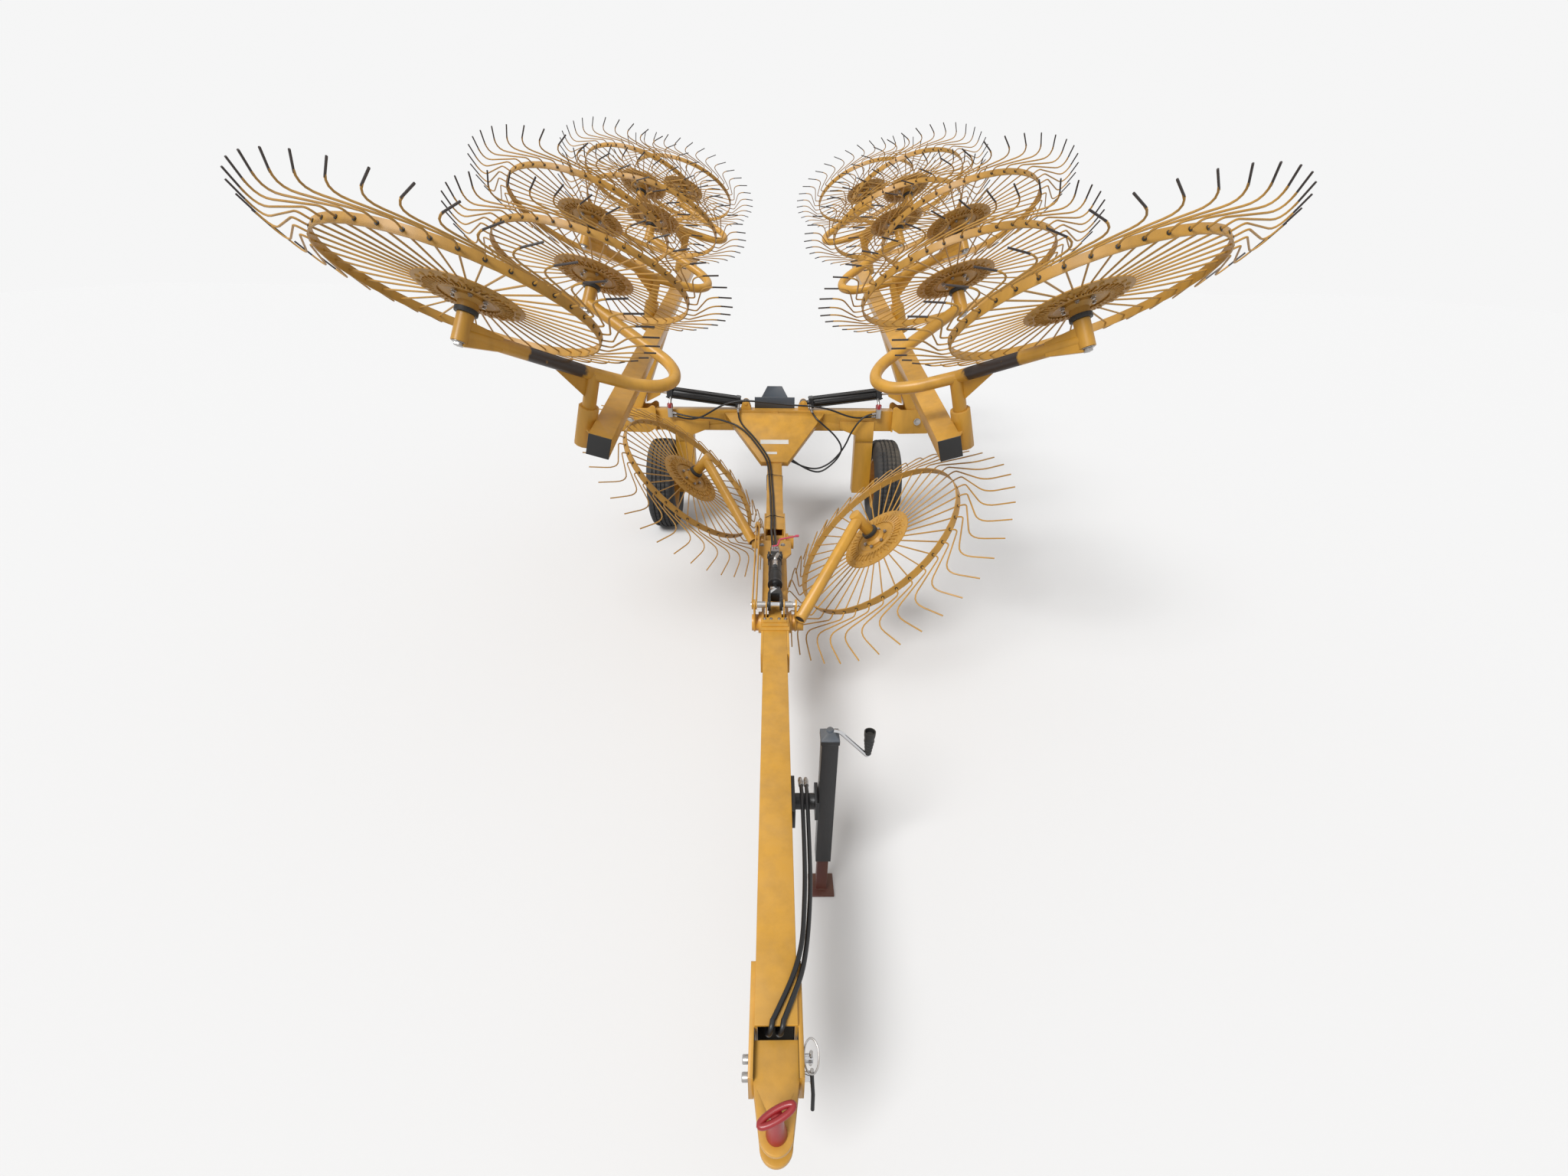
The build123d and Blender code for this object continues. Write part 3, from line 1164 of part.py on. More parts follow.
hose_routes = {
    "hose_right_inner": RIGHT_INNER,
    "hose_right_outer": RIGHT_OUTER,
    "hose_cross_over": CROSS_OVER,
    "hose_drawbar_inner": DRAWBAR_INNER,
    "hose_drawbar_outer": DRAWBAR_OUTER,
}
for node, corners in hose_routes.items():
    hose(node, [(x, behind(back), z) for x, back, z in corners])
for node, corners, shift in (
    ("hose_left_outer", LEFT_OUTER, -HOSE_PAIR), ("hose_left_inner", LEFT_INNER, HOSE_PAIR),
):
    fall = [(x, behind(back), z) for x, back, z in corners]
    lying = [on_frame(x + shift, back, above) for x, back, above in FRAME_RUN]
    hose(node, fall + lying)
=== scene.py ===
import json
import math

import bpy
from mathutils import Matrix, Vector


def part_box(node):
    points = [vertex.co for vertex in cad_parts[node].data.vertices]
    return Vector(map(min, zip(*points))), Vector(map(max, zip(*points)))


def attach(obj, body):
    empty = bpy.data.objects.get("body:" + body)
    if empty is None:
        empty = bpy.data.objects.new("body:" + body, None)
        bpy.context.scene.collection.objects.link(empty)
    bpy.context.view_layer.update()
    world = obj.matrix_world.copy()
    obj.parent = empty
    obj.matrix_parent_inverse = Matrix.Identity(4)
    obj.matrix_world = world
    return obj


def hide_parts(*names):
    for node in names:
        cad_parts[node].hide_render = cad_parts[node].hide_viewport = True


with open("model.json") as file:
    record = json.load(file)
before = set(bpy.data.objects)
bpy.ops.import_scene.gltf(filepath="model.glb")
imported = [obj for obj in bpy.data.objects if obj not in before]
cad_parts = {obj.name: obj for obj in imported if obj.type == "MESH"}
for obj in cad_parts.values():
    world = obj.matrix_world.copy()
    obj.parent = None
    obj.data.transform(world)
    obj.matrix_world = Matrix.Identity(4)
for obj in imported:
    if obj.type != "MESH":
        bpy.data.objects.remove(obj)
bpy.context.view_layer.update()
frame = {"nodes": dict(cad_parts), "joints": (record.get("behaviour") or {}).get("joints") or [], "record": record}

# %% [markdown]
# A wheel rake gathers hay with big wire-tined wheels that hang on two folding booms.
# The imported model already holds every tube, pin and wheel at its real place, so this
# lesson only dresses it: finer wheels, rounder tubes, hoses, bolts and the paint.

joints = {joint["name"]: joint for joint in frame["joints"]}

# %% [markdown]
# The photograph was taken with a very wide lens from head height, just in front of the
# hitch. The camera could be moved by eye until the picture fits, but it is built from that
# height, a downward pitch, a slight turn and a slight roll, so that each can be corrected
# by itself. Its focal length in pixels gives the lens for a 36 mm sensor.

# %% Camera
IMAGE_WIDTH = 2048
FOCAL_PIXELS = 812.0
SENSOR = 36.0
EYE_HEIGHT = 2.03
EYE_BEFORE_HITCH = 0.575
EYE_SIDE = -0.010
PITCH_DOWN = 29.1
TURN_RIGHT = 1.17
ROLL = 0.7

hitch_low, hitch_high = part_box("hitch_pin")
hitch_y = (hitch_low.y + hitch_high.y) / 2
camera_data = bpy.data.cameras.new("camera")
camera_data.sensor_width = SENSOR
camera_data.lens = SENSOR * FOCAL_PIXELS / IMAGE_WIDTH
camera = bpy.data.objects.new("camera", camera_data)
bpy.context.scene.collection.objects.link(camera)
camera.matrix_world = (
    Matrix.Translation((EYE_SIDE, hitch_y - EYE_BEFORE_HITCH, EYE_HEIGHT))
    @ Matrix.Rotation(math.radians(-TURN_RIGHT), 4, "Z")
    @ Matrix.Rotation(math.radians(90 - PITCH_DOWN), 4, "X")
    @ Matrix.Rotation(math.radians(ROLL), 4, "Z")
)
bpy.context.scene.camera = camera
print("lens", round(camera_data.lens, 2), "mm, eye at y", round(hitch_y - EYE_BEFORE_HITCH, 3))

# %% [markdown]
# Many finishes share the same effects. Each effect is a node group with named inputs and
# outputs, so that a paint and a tyre can use the same dust with their own strength.
# Copied nodes would drift apart, while a group is built once and changed in one place.
# Small helpers make a group with its sockets and the few kinds of node that fill it.

# %% Helpers for node groups
def new_group(name, inputs, outputs):
    """Empty node group with float or colour sockets, and its two end nodes."""
    group = bpy.data.node_groups.new(name, "ShaderNodeTree")
    kinds = {"float": "NodeSocketFloat", "color": "NodeSocketColor"}
    for socket_name, kind, default in inputs:
        socket = group.interface.new_socket(socket_name, in_out="INPUT", socket_type=kinds[kind])
        socket.default_value = default
    for socket_name, kind in outputs:
        group.interface.new_socket(socket_name, in_out="OUTPUT", socket_type=kinds[kind])
    start = group.nodes.new("NodeGroupInput")
    end = group.nodes.new("NodeGroupOutput")
    return group, start, end


def math_node(tree, operation, first, second=None, clamp=False):
    """Math node whose inputs are sockets or numbers; gives its output socket."""
    node = tree.nodes.new("ShaderNodeMath")
    node.operation = operation
    node.use_clamp = clamp
    for index, value in enumerate((first, second)):
        if value is None:
            continue
        if isinstance(value, (int, float)):
            node.inputs[index].default_value = value
        else:
            tree.links.new(value, node.inputs[index])
    return node.outputs[0]


def ramp_node(tree, source, low, high):
    """Map Range from low..high to 0..1, clamped; gives its output socket."""
    node = tree.nodes.new("ShaderNodeMapRange")
    tree.links.new(source, node.inputs["Value"])
    node.inputs["From Min"].default_value = low
    node.inputs["From Max"].default_value = high
    return node.outputs["Result"]


def noise_node(tree, scale, detail=3.0, roughness=0.55, stretch=(1, 1, 1)):
    """Noise in object coordinates; scale is a number or a socket."""
    place = tree.nodes.new("ShaderNodeTexCoord")
    mapping = tree.nodes.new("ShaderNodeMapping")
    mapping.inputs["Scale"].default_value = stretch
    tree.links.new(place.outputs["Object"], mapping.inputs["Vector"])
    noise = tree.nodes.new("ShaderNodeTexNoise")
    tree.links.new(mapping.outputs["Vector"], noise.inputs["Vector"])
    noise.inputs["Detail"].default_value = detail
    noise.inputs["Roughness"].default_value = roughness
    if isinstance(scale, (int, float)):
        noise.inputs["Scale"].default_value = scale
    else:
        tree.links.new(scale, noise.inputs["Scale"])
    return noise.outputs["Fac"]


def mix_color(tree, amount, first, second):
    """Colour mix of two sockets or colours; gives its output socket."""
    node = tree.nodes.new("ShaderNodeMix")
    node.data_type = "RGBA"
    sockets = {"Factor": node.inputs[0], "A": node.inputs[6], "B": node.inputs[7]}
    for key, value in (("Factor", amount), ("A", first), ("B", second)):
        if isinstance(value, (int, float, tuple)):
            sockets[key].default_value = value
        else:
            tree.links.new(value, sockets[key])
    return node.outputs[2]


# %% [markdown]
# Worn edges: the Bevel node rounds the normal near an edge, and where the rounded normal
# differs from the true one there is an edge. It could also be painted by hand, but the
# node finds the edges of every piece by itself. A noise breaks the line up, so that only
# the corners that rub have lost their paint.

# %% Edge wear group
EDGE_RAMP = (0.02, 0.18)
PATCH_NOISE = (38.0, 5.0, 0.7)  # scale, detail, roughness
PATCH_RAMP = (0.47, 0.60)

edge_wear, wear_in, wear_out = new_group(
    "edge_wear", [("Radius", "float", 0.004), ("Amount", "float", 0.5)], [("Mask", "float")]
)
bevel = edge_wear.nodes.new("ShaderNodeBevel")
bevel.samples = 4
edge_wear.links.new(wear_in.outputs["Radius"], bevel.inputs["Radius"])
geometry = edge_wear.nodes.new("ShaderNodeNewGeometry")
facing = edge_wear.nodes.new("ShaderNodeVectorMath")
facing.operation = "DOT_PRODUCT"
edge_wear.links.new(bevel.outputs["Normal"], facing.inputs[0])
edge_wear.links.new(geometry.outputs["Normal"], facing.inputs[1])
edge = math_node(edge_wear, "SUBTRACT", 1.0, facing.outputs["Value"])
edge = ramp_node(edge_wear, edge, *EDGE_RAMP)
patches = ramp_node(edge_wear, noise_node(edge_wear, *PATCH_NOISE), *PATCH_RAMP)
worn = math_node(edge_wear, "MULTIPLY", edge, patches)
worn = math_node(edge_wear, "MULTIPLY", worn, wear_in.outputs["Amount"], clamp=True)
edge_wear.links.new(worn, wear_out.inputs["Mask"])
print("edge_wear nodes", len(edge_wear.nodes))

# %% [markdown]
# Dust and dirt: what looks up collects dust, and everything has faint blotches from rain.
# The group mixes a dust colour over the paint and makes the place rougher. Noise in three
# dimensions needs no unwrapping, so that it fits tubes, plates and wheels alike.

# %% Weathering group
UPWARD_RAMP = (0.2, 1.0)
CLOUD_NOISE = (5.5, 6.0, 0.65)
CLOUD_RAMP = (0.35, 0.75)
STREAK_NOISE = (14.0, 5.0, 0.6, (1, 1, 0.25))  # scale, detail, roughness, stretch
STREAK_RAMP = (0.40, 0.80)
STAIN_COLOR = (0.16, 0.085, 0.02, 1)
DUST_ROUGHENS = 0.5

weather, weather_in, weather_out = new_group(
    "weathering",
    [
        ("Color", "color", (0.8, 0.8, 0.8, 1)), ("Dust Color", "color", (0.45, 0.38, 0.28, 1)),
        ("Dust", "float", 0.3), ("Blotch", "float", 0.2), ("Roughness", "float", 0.4),
    ],
    [("Color", "color"), ("Roughness", "float")],
)
look = weather.nodes.new("ShaderNodeNewGeometry")
split = weather.nodes.new("ShaderNodeSeparateXYZ")
weather.links.new(look.outputs["Normal"], split.inputs[0])
upward = ramp_node(weather, split.outputs["Z"], *UPWARD_RAMP)
clouds = ramp_node(weather, noise_node(weather, *CLOUD_NOISE), *CLOUD_RAMP)
dusty = math_node(weather, "MULTIPLY", upward, clouds)
dusty = math_node(weather, "MULTIPLY", dusty, weather_in.outputs["Dust"], clamp=True)
streaks = ramp_node(weather, noise_node(weather, *STREAK_NOISE), *STREAK_RAMP)
stain = math_node(weather, "MULTIPLY", streaks, weather_in.outputs["Blotch"], clamp=True)
darker = mix_color(weather, stain, weather_in.outputs["Color"], STAIN_COLOR)
covered = mix_color(weather, dusty, darker, weather_in.outputs["Dust Color"])
weather.links.new(covered, weather_out.inputs["Color"])
rougher = math_node(weather, "MULTIPLY", dusty, DUST_ROUGHENS)
rougher = math_node(weather, "ADD", rougher, weather_in.outputs["Roughness"], clamp=True)
weather.links.new(rougher, weather_out.inputs["Roughness"])
print("weathering nodes", len(weather.nodes))

# %% [markdown]
# Fine grain: orange peel in sprayed paint, the cast skin of a hub or the mould texture of
# a plastic cap are all small bumps. The group gives a height for a Bump node, which costs
# far less than real bumps in the mesh and is fine enough for forms under a millimetre.

# %% Grain group
GRAIN_DETAIL = (2.0, 0.5)  # detail, roughness
WAVE_SCALE = 9.0
WAVE_SHARE = 0.6

grain, grain_in, grain_out = new_group(
    "grain", [("Scale", "float", 300.0), ("Depth", "float", 0.5)], [("Height", "float")]
)
coarse = noise_node(grain, grain_in.outputs["Scale"], *GRAIN_DETAIL)
waves = noise_node(grain, WAVE_SCALE, *GRAIN_DETAIL)
both = math_node(grain, "ADD", coarse, math_node(grain, "MULTIPLY", waves, WAVE_SHARE))
height = math_node(grain, "MULTIPLY", both, grain_in.outputs["Depth"])
grain.links.new(height, grain_out.inputs["Height"])
print("grain nodes", len(grain.nodes))

# %% [markdown]
# One recipe makes every painted, plated or moulded finish: base colour through the
# weathering, edges through the wear mask to the bare colour below, and the grain as a
# bump. A tree built by hand for each material would repeat the same links, so one
# function builds them all. The paint of arms and tines also has a dark stain, which a
# point attribute of the mesh switches on where heat or the ground has taken the paint.

# %% Recipe of a finish
BUMP_DISTANCE = 0.0006
COAT_ROUGHNESS = 0.18
TIP_COLOR = (0.022, 0.013, 0.010, 1)
TIP_NOISE_SCALE = 26.0
TIP_NOISE_SHARE = 0.6
TIP_RAMP = (0.66, 0.80)


def place_group(tree, group, **values):
    """Group node in a material with its inputs set by name."""
    node = tree.nodes.new("ShaderNodeGroup")
    node.node_tree = group
    for name, value in values.items():
        node.inputs[name.replace("_", " ")].default_value = value
    return node


def stained_tips(tree, base):
    """Dark bare steel over the base where the mesh marks a worn tip."""
    marked = tree.nodes.new("ShaderNodeAttribute")
    marked.attribute_name = "worn_tip"
    broken = math_node(tree, "MULTIPLY", noise_node(tree, TIP_NOISE_SCALE, detail=5.0), TIP_NOISE_SHARE)
    dark = ramp_node(tree, math_node(tree, "ADD", marked.outputs["Fac"], broken), *TIP_RAMP)
    return mix_color(tree, dark, base, TIP_COLOR)


def finish_material(
    name, color, rough, metal=0.0, coat=0.0, dust=0.3, blotch=0.2, wear=0.3,
    bare=(0.20, 0.10, 0.05, 1), grain_scale=300.0, depth=0.25, wear_radius=0.004, tips=False,
):
    """Weathered finish with worn edges and a fine grain."""
    material = bpy.data.materials.new(name)
    material.use_nodes = True
    tree = material.node_tree
    shader = tree.nodes["Principled BSDF"]
    weathered = place_group(tree, weather, Color=(*color, 1), Dust=dust, Blotch=blotch, Roughness=rough)
    rubbed = place_group(tree, edge_wear, Radius=wear_radius, Amount=wear)
    base = mix_color(tree, rubbed.outputs["Mask"], weathered.outputs["Color"], bare)
    if tips:
        base = stained_tips(tree, base)
    tree.links.new(base, shader.inputs["Base Color"])
    tree.links.new(weathered.outputs["Roughness"], shader.inputs["Roughness"])
    shader.inputs["Metallic"].default_value = metal
    shader.inputs["Coat Weight"].default_value = coat
    shader.inputs["Coat Roughness"].default_value = COAT_ROUGHNESS
    texture = place_group(tree, grain, Scale=grain_scale, Depth=depth)
    bump = tree.nodes.new("ShaderNodeBump")
    bump.inputs["Distance"].default_value = BUMP_DISTANCE
    tree.links.new(texture.outputs["Height"], bump.inputs["Height"])
    tree.links.new(bump.outputs["Normal"], shader.inputs["Normal"])
    return material


print("effects in the recipe", [group.name for group in bpy.data.node_groups])

# %% [markdown]
# The machine is mostly one sprayed yellow, duller and more stained on the wheels. Beside
# it are black cylinders, plated rods and bolts, rubber, and a few small red and white
# parts. Each row gives only what differs from the recipe's own values.

# %% Finishes
FINISH_ROWS = {
    "yellow_paint": dict(
        color=(0.61, 0.31, 0.034), rough=0.42, coat=0.12, dust=0.15, blotch=0.34, wear=0.5, tips=True
    ),
    "wheel_paint": dict(
        color=(0.50, 0.26, 0.040), rough=0.50, coat=0.05, dust=0.10, blotch=0.45, wear=0.4, tips=True
    ),
    "tyre": dict(
        color=(0.022, 0.022, 0.023), rough=0.75, dust=0.35, blotch=0.0, wear=0.0,
        grain_scale=220.0, depth=0.6,
    ),
    "black_paint": dict(
        color=(0.005, 0.005, 0.006), rough=0.42, coat=0.05, dust=0.02, blotch=0.0, wear=0.25,
        bare=(0.2, 0.19, 0.18, 1),
    ),
    "rod_chrome": dict(
        color=(0.62, 0.62, 0.63), rough=0.12, metal=1.0, dust=0.05, blotch=0.05, wear=0.0,
        grain_scale=900.0, depth=0.05,
    ),
    "primer": dict(
        color=(0.085, 0.020, 0.014), rough=0.5, dust=0.10, blotch=0.3, wear=0.4,
        bare=(0.25, 0.24, 0.22, 1),
    ),
    "zinc": dict(
        color=(0.42, 0.41, 0.40), rough=0.32, metal=0.9, dust=0.15, blotch=0.25, wear=0.1,
        grain_scale=120.0, depth=0.3,
    ),
    # black_plastic is also the painted shade in holes, open tube ends and inside the drawbar.
    "black_plastic": dict(
        color=(0.012, 0.012, 0.012), rough=0.5, dust=0.2, blotch=0.0, wear=0.0,
        grain_scale=700.0, depth=0.5,
    ),
    "slate": dict(
        color=(0.055, 0.07, 0.09), rough=0.4, dust=0.2, blotch=0.1, wear=0.2, bare=(0.4, 0.4, 0.4, 1)
    ),
    "hose_rubber": dict(
        color=(0.006, 0.006, 0.007), rough=0.38, dust=0.01, blotch=0.0, wear=0.0,
        grain_scale=500.0, depth=0.4,
    ),
    "white_plate": dict(color=(0.72, 0.71, 0.67), rough=0.45, dust=0.15, blotch=0.08, wear=0.15),
    "red_lever": dict(
        color=(0.30, 0.010, 0.016), rough=0.38, coat=0.2, dust=0.05, blotch=0.15, wear=0.2
    ),
    "faded_red": dict(color=(0.62, 0.06, 0.13), rough=0.45, dust=0.10, blotch=0.15, wear=0.2),
}
finishes = {name: finish_material(name, **values) for name, values in FINISH_ROWS.items()}
print("finishes", len(finishes))

# %% [markdown]
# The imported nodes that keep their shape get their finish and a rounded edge, because a
# real edge always catches a thin line of light. Their faces are welded first: the bevel
# only works on faces that share their edges.

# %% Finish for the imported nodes
EDGE_ROUND = 0.0015
WELD_REACH = 0.00002
BEVEL_FROM = math.radians(40)
slot_of = {part["node"]: part["material_slot"] for part in frame["record"]["subparts"]}


def soften(piece, width=EDGE_ROUND):
    """Weld, rounded edges and smooth shading for a hard-surface piece."""
    weld = piece.modifiers.new("weld", "WELD")
    weld.merge_threshold = WELD_REACH
    rounding = piece.modifiers.new("rounding", "BEVEL")
    rounding.width = width
    rounding.segments = 2
    rounding.limit_method = "ANGLE"
    rounding.angle_limit = BEVEL_FROM
    rounding.harden_normals = True


for name, node in frame["nodes"].items():
    node.data.materials.clear()
    node.data.materials.append(finishes[slot_of[name]])
    node.data.shade_smooth()
    soften(node)
print("packed nodes with a finish", len(frame["nodes"]))

# %% [markdown]
# Every added piece is gathered in a pile of points and faces. It could be many objects
# joined at the end, but one mesh per piece keeps the file light, and each face remembers
# which finish it has. The pile turns into an object that rides on its body.

# %% A pile of points and faces
SHARP_FROM = math.radians(42)


class Pile:
    """Points, faces and finishes of one piece."""

    def __init__(self, *finish_names):
        self.points = []
        self.faces = []
        self.paints = []
        self.tips = []
        self.finish_names = finish_names

    def add(self, shape, finish=None, place=None, tip=0.0):
        """Add a shape, which is (points, faces), moved by a matrix."""
        points, faces = shape
        start = len(self.points)
        self.points += [place @ Vector(point) if place else Vector(point) for point in points]
        flip = place is not None and place.determinant() < 0
        for face in faces:
            corners = [start + index for index in face]
            self.faces.append(corners[::-1] if flip else corners)
            self.paints.append(self.finish_names.index(finish) if finish else 0)
        self.tips += tip if isinstance(tip, list) else [tip] * len(points)

    def piece(self, name, body, rounding=0.0, slot=None):
        """Mesh object of the pile that rides on a body."""
        mesh = bpy.data.meshes.new(name)
        mesh.from_pydata([tuple(point) for point in self.points], [], self.faces)
        for finish in self.finish_names:
            mesh.materials.append(finishes[finish])
        mesh.polygons.foreach_set("material_index", self.paints)
        if any(self.tips):
            marks = mesh.attributes.new("worn_tip", "FLOAT", "POINT")
            marks.data.foreach_set("value", self.tips)
        mesh.shade_smooth()
        mesh.set_sharp_from_angle(angle=SHARP_FROM)
        obj = bpy.data.objects.new(name, mesh)
        bpy.context.scene.collection.objects.link(obj)
        if rounding:
            soften(obj, rounding)
        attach(obj, body)
        return obj


# %% [markdown]
# Bars, tubes and wires are a ring of points carried along a path, and hubs, nuts and
# collars are a profile turned round an axis. Both join their rings with the same quads.
# A turned end keeps a tiny flat in its middle, which saves a special case for the centre.

# %% Swept and turned shapes
CORE = 0.001


def ring_faces(rings, around, closed=False):
    """Quads between rings of the same number of points."""
    faces = []
    for ring in range(rings if closed else rings - 1):
        for side in range(around):
            low = ring * around
            high = ((ring + 1) % rings) * around
            nxt = (side + 1) % around
            faces.append((low + side, low + nxt, high + nxt, high + side))
    return faces


def end_caps(rings, around):
    """Flat faces over the first and the last ring."""
    return [tuple(range(around))[::-1], tuple(range((rings - 1) * around, rings * around))]


def swept(path, radius, sides=8):
    """Round bar along a path."""
    path = [Vector(point) for point in path]
    tangent = (path[1] - path[0]).normalized()
    across = tangent.orthogonal().normalized()
    points = []
    for index, point in enumerate(path):
        before = path[max(index - 1, 0)]
        after = path[min(index + 1, len(path) - 1)]
        new_tangent = (after - before).normalized()
        across = (across - new_tangent * across.dot(new_tangent)).normalized()
        side_dir = new_tangent.cross(across)
        for side in range(sides):
            angle = 2 * math.pi * side / sides
            points.append(point + (across * math.cos(angle) + side_dir * math.sin(angle)) * radius)
    return points, ring_faces(len(path), sides) + end_caps(len(path), sides)


def turned(profile, steps=32, closed=False):
    """Shape turned round Z from (radius, height) points, capped, or closed to a ring."""
    points = []
    for radius, height in profile:
        for step in range(steps):
            angle = 2 * math.pi * step / steps
            points.append((radius * math.cos(angle), radius * math.sin(angle), height))
    faces = ring_faces(len(profile), steps, closed)
    if not closed:
        faces += end_caps(len(profile), steps)
    return points, faces


def stub(radius, low, high, steps=20):
    """Short round bar along Z between two heights."""
    return turned([(CORE, low), (radius, low), (radius, high), (CORE, high)], steps)


def collar(inner, outer, low, high, steps=32):
    """Ring of square section round Z."""
    return turned([(inner, low), (outer, low), (outer, high), (inner, high)], steps, closed=True)


print("points in a stub", len(stub(0.01, 0, 0.01)[0]))

# %% [markdown]
# Plates are an outline with a thickness, and a bolt is a hexagon on a washer. A path with
# soft corners bends each corner by a short curve between the two straight runs, as a tube
# bender does. Each shape is made at the origin and then set in its place by one matrix.

# %% Plates, bends, places and bolts
MIRROR_X = Matrix.Diagonal((-1, 1, 1, 1))
WASHER_WIDE = 1.35
WASHER_HIGH = 0.22
HEAD_FROM = 0.2
HEAD_EDGE = 0.9
HEAD_TOP = 0.82


def rectangle(half_x, half_y):
    """Outline of a rectangle round the origin."""
    return [(-half_x, -half_y), (half_x, -half_y), (half_x, half_y), (-half_x, half_y)]


def cut_plate(outline, thickness):
    """Plate in XY with its thickness up along Z."""
    count = len(outline)
    points = [(x, y, 0) for x, y in outline] + [(x, y, thickness) for x, y in outline]
    faces = [tuple(range(count))[::-1], tuple(range(count, 2 * count))]
    for side in range(count):
        nxt = (side + 1) % count
        faces.append((side, nxt, count + nxt, count + side))
    return points, faces


def rounded(corners, radii, steps=6):
    """Path through corners with a curve of the given reach at each inner corner."""
    corners = [Vector(corner) for corner in corners]
    path = [corners[0]]
    for index in range(1, len(corners) - 1):
        corner = corners[index]
        before = corner + (corners[index - 1] - corner).normalized() * radii[index - 1]
        after = corner + (corners[index + 1] - corner).normalized() * radii[index - 1]
        for step in range(steps + 1):
            share = step / steps
            path.append(before * (1 - share) ** 2 + corner * 2 * share * (1 - share) + after * share ** 2)
    path.append(corners[-1])
    return path


def axis_place(origin, z_dir, x_hint=(1, 0, 0)):
    """Matrix at origin whose Z looks along z_dir."""
    z_axis = Vector(z_dir).normalized()
    x_axis = Vector(x_hint) - z_axis * Vector(x_hint).dot(z_axis)
    if x_axis.length < 0.01:
        x_axis = z_axis.orthogonal()
    x_axis.normalize()
    y_axis = z_axis.cross(x_axis)
    turn = Matrix((x_axis, y_axis, z_axis)).transposed().to_4x4()
    return Matrix.Translation(origin) @ turn


def hex_bolt(radius, height):
    """Hexagon head with a washer under it, standing on Z 0."""
    wide = radius * WASHER_WIDE
    thick = height * WASHER_HIGH
    washer_points, washer_faces = turned([(wide, 0), (wide, thick), (CORE, thick)], 20)
    head_points, head_faces = turned([
        (radius, height * HEAD_FROM), (radius, height * HEAD_EDGE),
        (radius * HEAD_TOP, height), (CORE, height),
    ], 6)
    offset = len(washer_points)
    moved = [tuple(index + offset for index in face) for face in head_faces]
    return washer_points + head_points, washer_faces + moved


print("faces of a bolt", len(hex_bolt(0.01, 0.01)[1]))

# %% [markdown]
# The rake wheel is what everyone looks at. Forty spring-wire tines start at the pressed
# disc, pass through holes in a strap rim, bend sideways just outside it, sweep back and
# turn out again at the tip, away from the hub. One tine is a path with rounded corners,
# swept as a thin bar, so that its bends stay real in every view. The tips of the boom
# wheels are worn to dark steel, which a point attribute marks.

# %% One tine of spring wire
TINES = 40
WIRE_R = 0.0035
WIRE_SIDES = 6
RIM_R = 0.470
TINE_START = [(0.150, 0, 0.006), (RIM_R, 0, 0), (0.510, 0.003, 0.006)]
BOOM_TINE_END = [(0.545, 0.238, 0.004), (0.650, 0.197, 0.050)]
CENTRE_TINE_END = [(0.549, 0.244, 0.009), (0.665, 0.213, 0.097)]
TINE_CURVES = [0.015, 0.018, 0.062]
WORN_LENGTH = 0.075
WORN_FADE = 0.06


def wire_tine(tine_end, worn):
    """One tine and the mark of its worn tip for each of its points."""
    path = rounded(TINE_START + tine_end, TINE_CURVES, 5)
    last = path.pop()
    break_at = last + (path[-1] - last).normalized() * WORN_LENGTH
    path += [break_at, break_at.lerp(last, WORN_FADE), last]
    shape = swept(path, WIRE_R, WIRE_SIDES)
    fading = (len(path) - 2) * WIRE_SIDES
    marks = [worn if index >= fading else 0.0 for index in range(len(shape[0]))]
    return shape, marks


print("faces of a tine", len(wire_tine(BOOM_TINE_END, 1.0)[0][1]))

# %% [markdown]
# The disc in the middle is pressed from sheet: a raised boss round the hub, a stamped
# groove, a ring of twenty round dimples and a rolled edge. A bump would vanish at the
# edge of the disc, so each ring of points gets its real height by a formula.

# %% Pressed disc
DISC_R = 0.190
DISC_T = 0.004
DISC_STEPS = 120
DISC_RINGS = [
    0.040, 0.052, 0.070, 0.082, 0.088, 0.094, 0.106, 0.116,
    0.124, 0.132, 0.140, 0.148, 0.158, 0.172, 0.184, DISC_R,
]
BOSS_TO = 0.075
BOSS_RISE = 0.004
STAMP_RINGS = (0.085, 0.092)
STAMP_GAP = 0.35
STAMP_DEPTH = 0.004
DIMPLES = 20
DIMPLE_RINGS = (0.118, 0.150)
DIMPLE_MIDDLE = 0.134
DIMPLE_REACH = 0.018
DIMPLE_DEPTH = 0.006
ROLL_FROM = 0.180
ROLL_RISE = 0.004


def disc_height(radius, angle):
    """Height of the disc's middle plane at a radius and an angle."""
    level = BOSS_RISE if radius < BOSS_TO else 0.0
    if STAMP_RINGS[0] < radius < STAMP_RINGS[1] and abs(math.sin(angle / 2)) > STAMP_GAP:
        level -= STAMP_DEPTH
    dimple = math.cos(DIMPLES * angle)
    if DIMPLE_RINGS[0] < radius < DIMPLE_RINGS[1] and dimple > 0.1:
        level -= DIMPLE_DEPTH * dimple * (1 - abs(radius - DIMPLE_MIDDLE) / DIMPLE_REACH)
    if radius > ROLL_FROM:
        level += ROLL_RISE
    return level


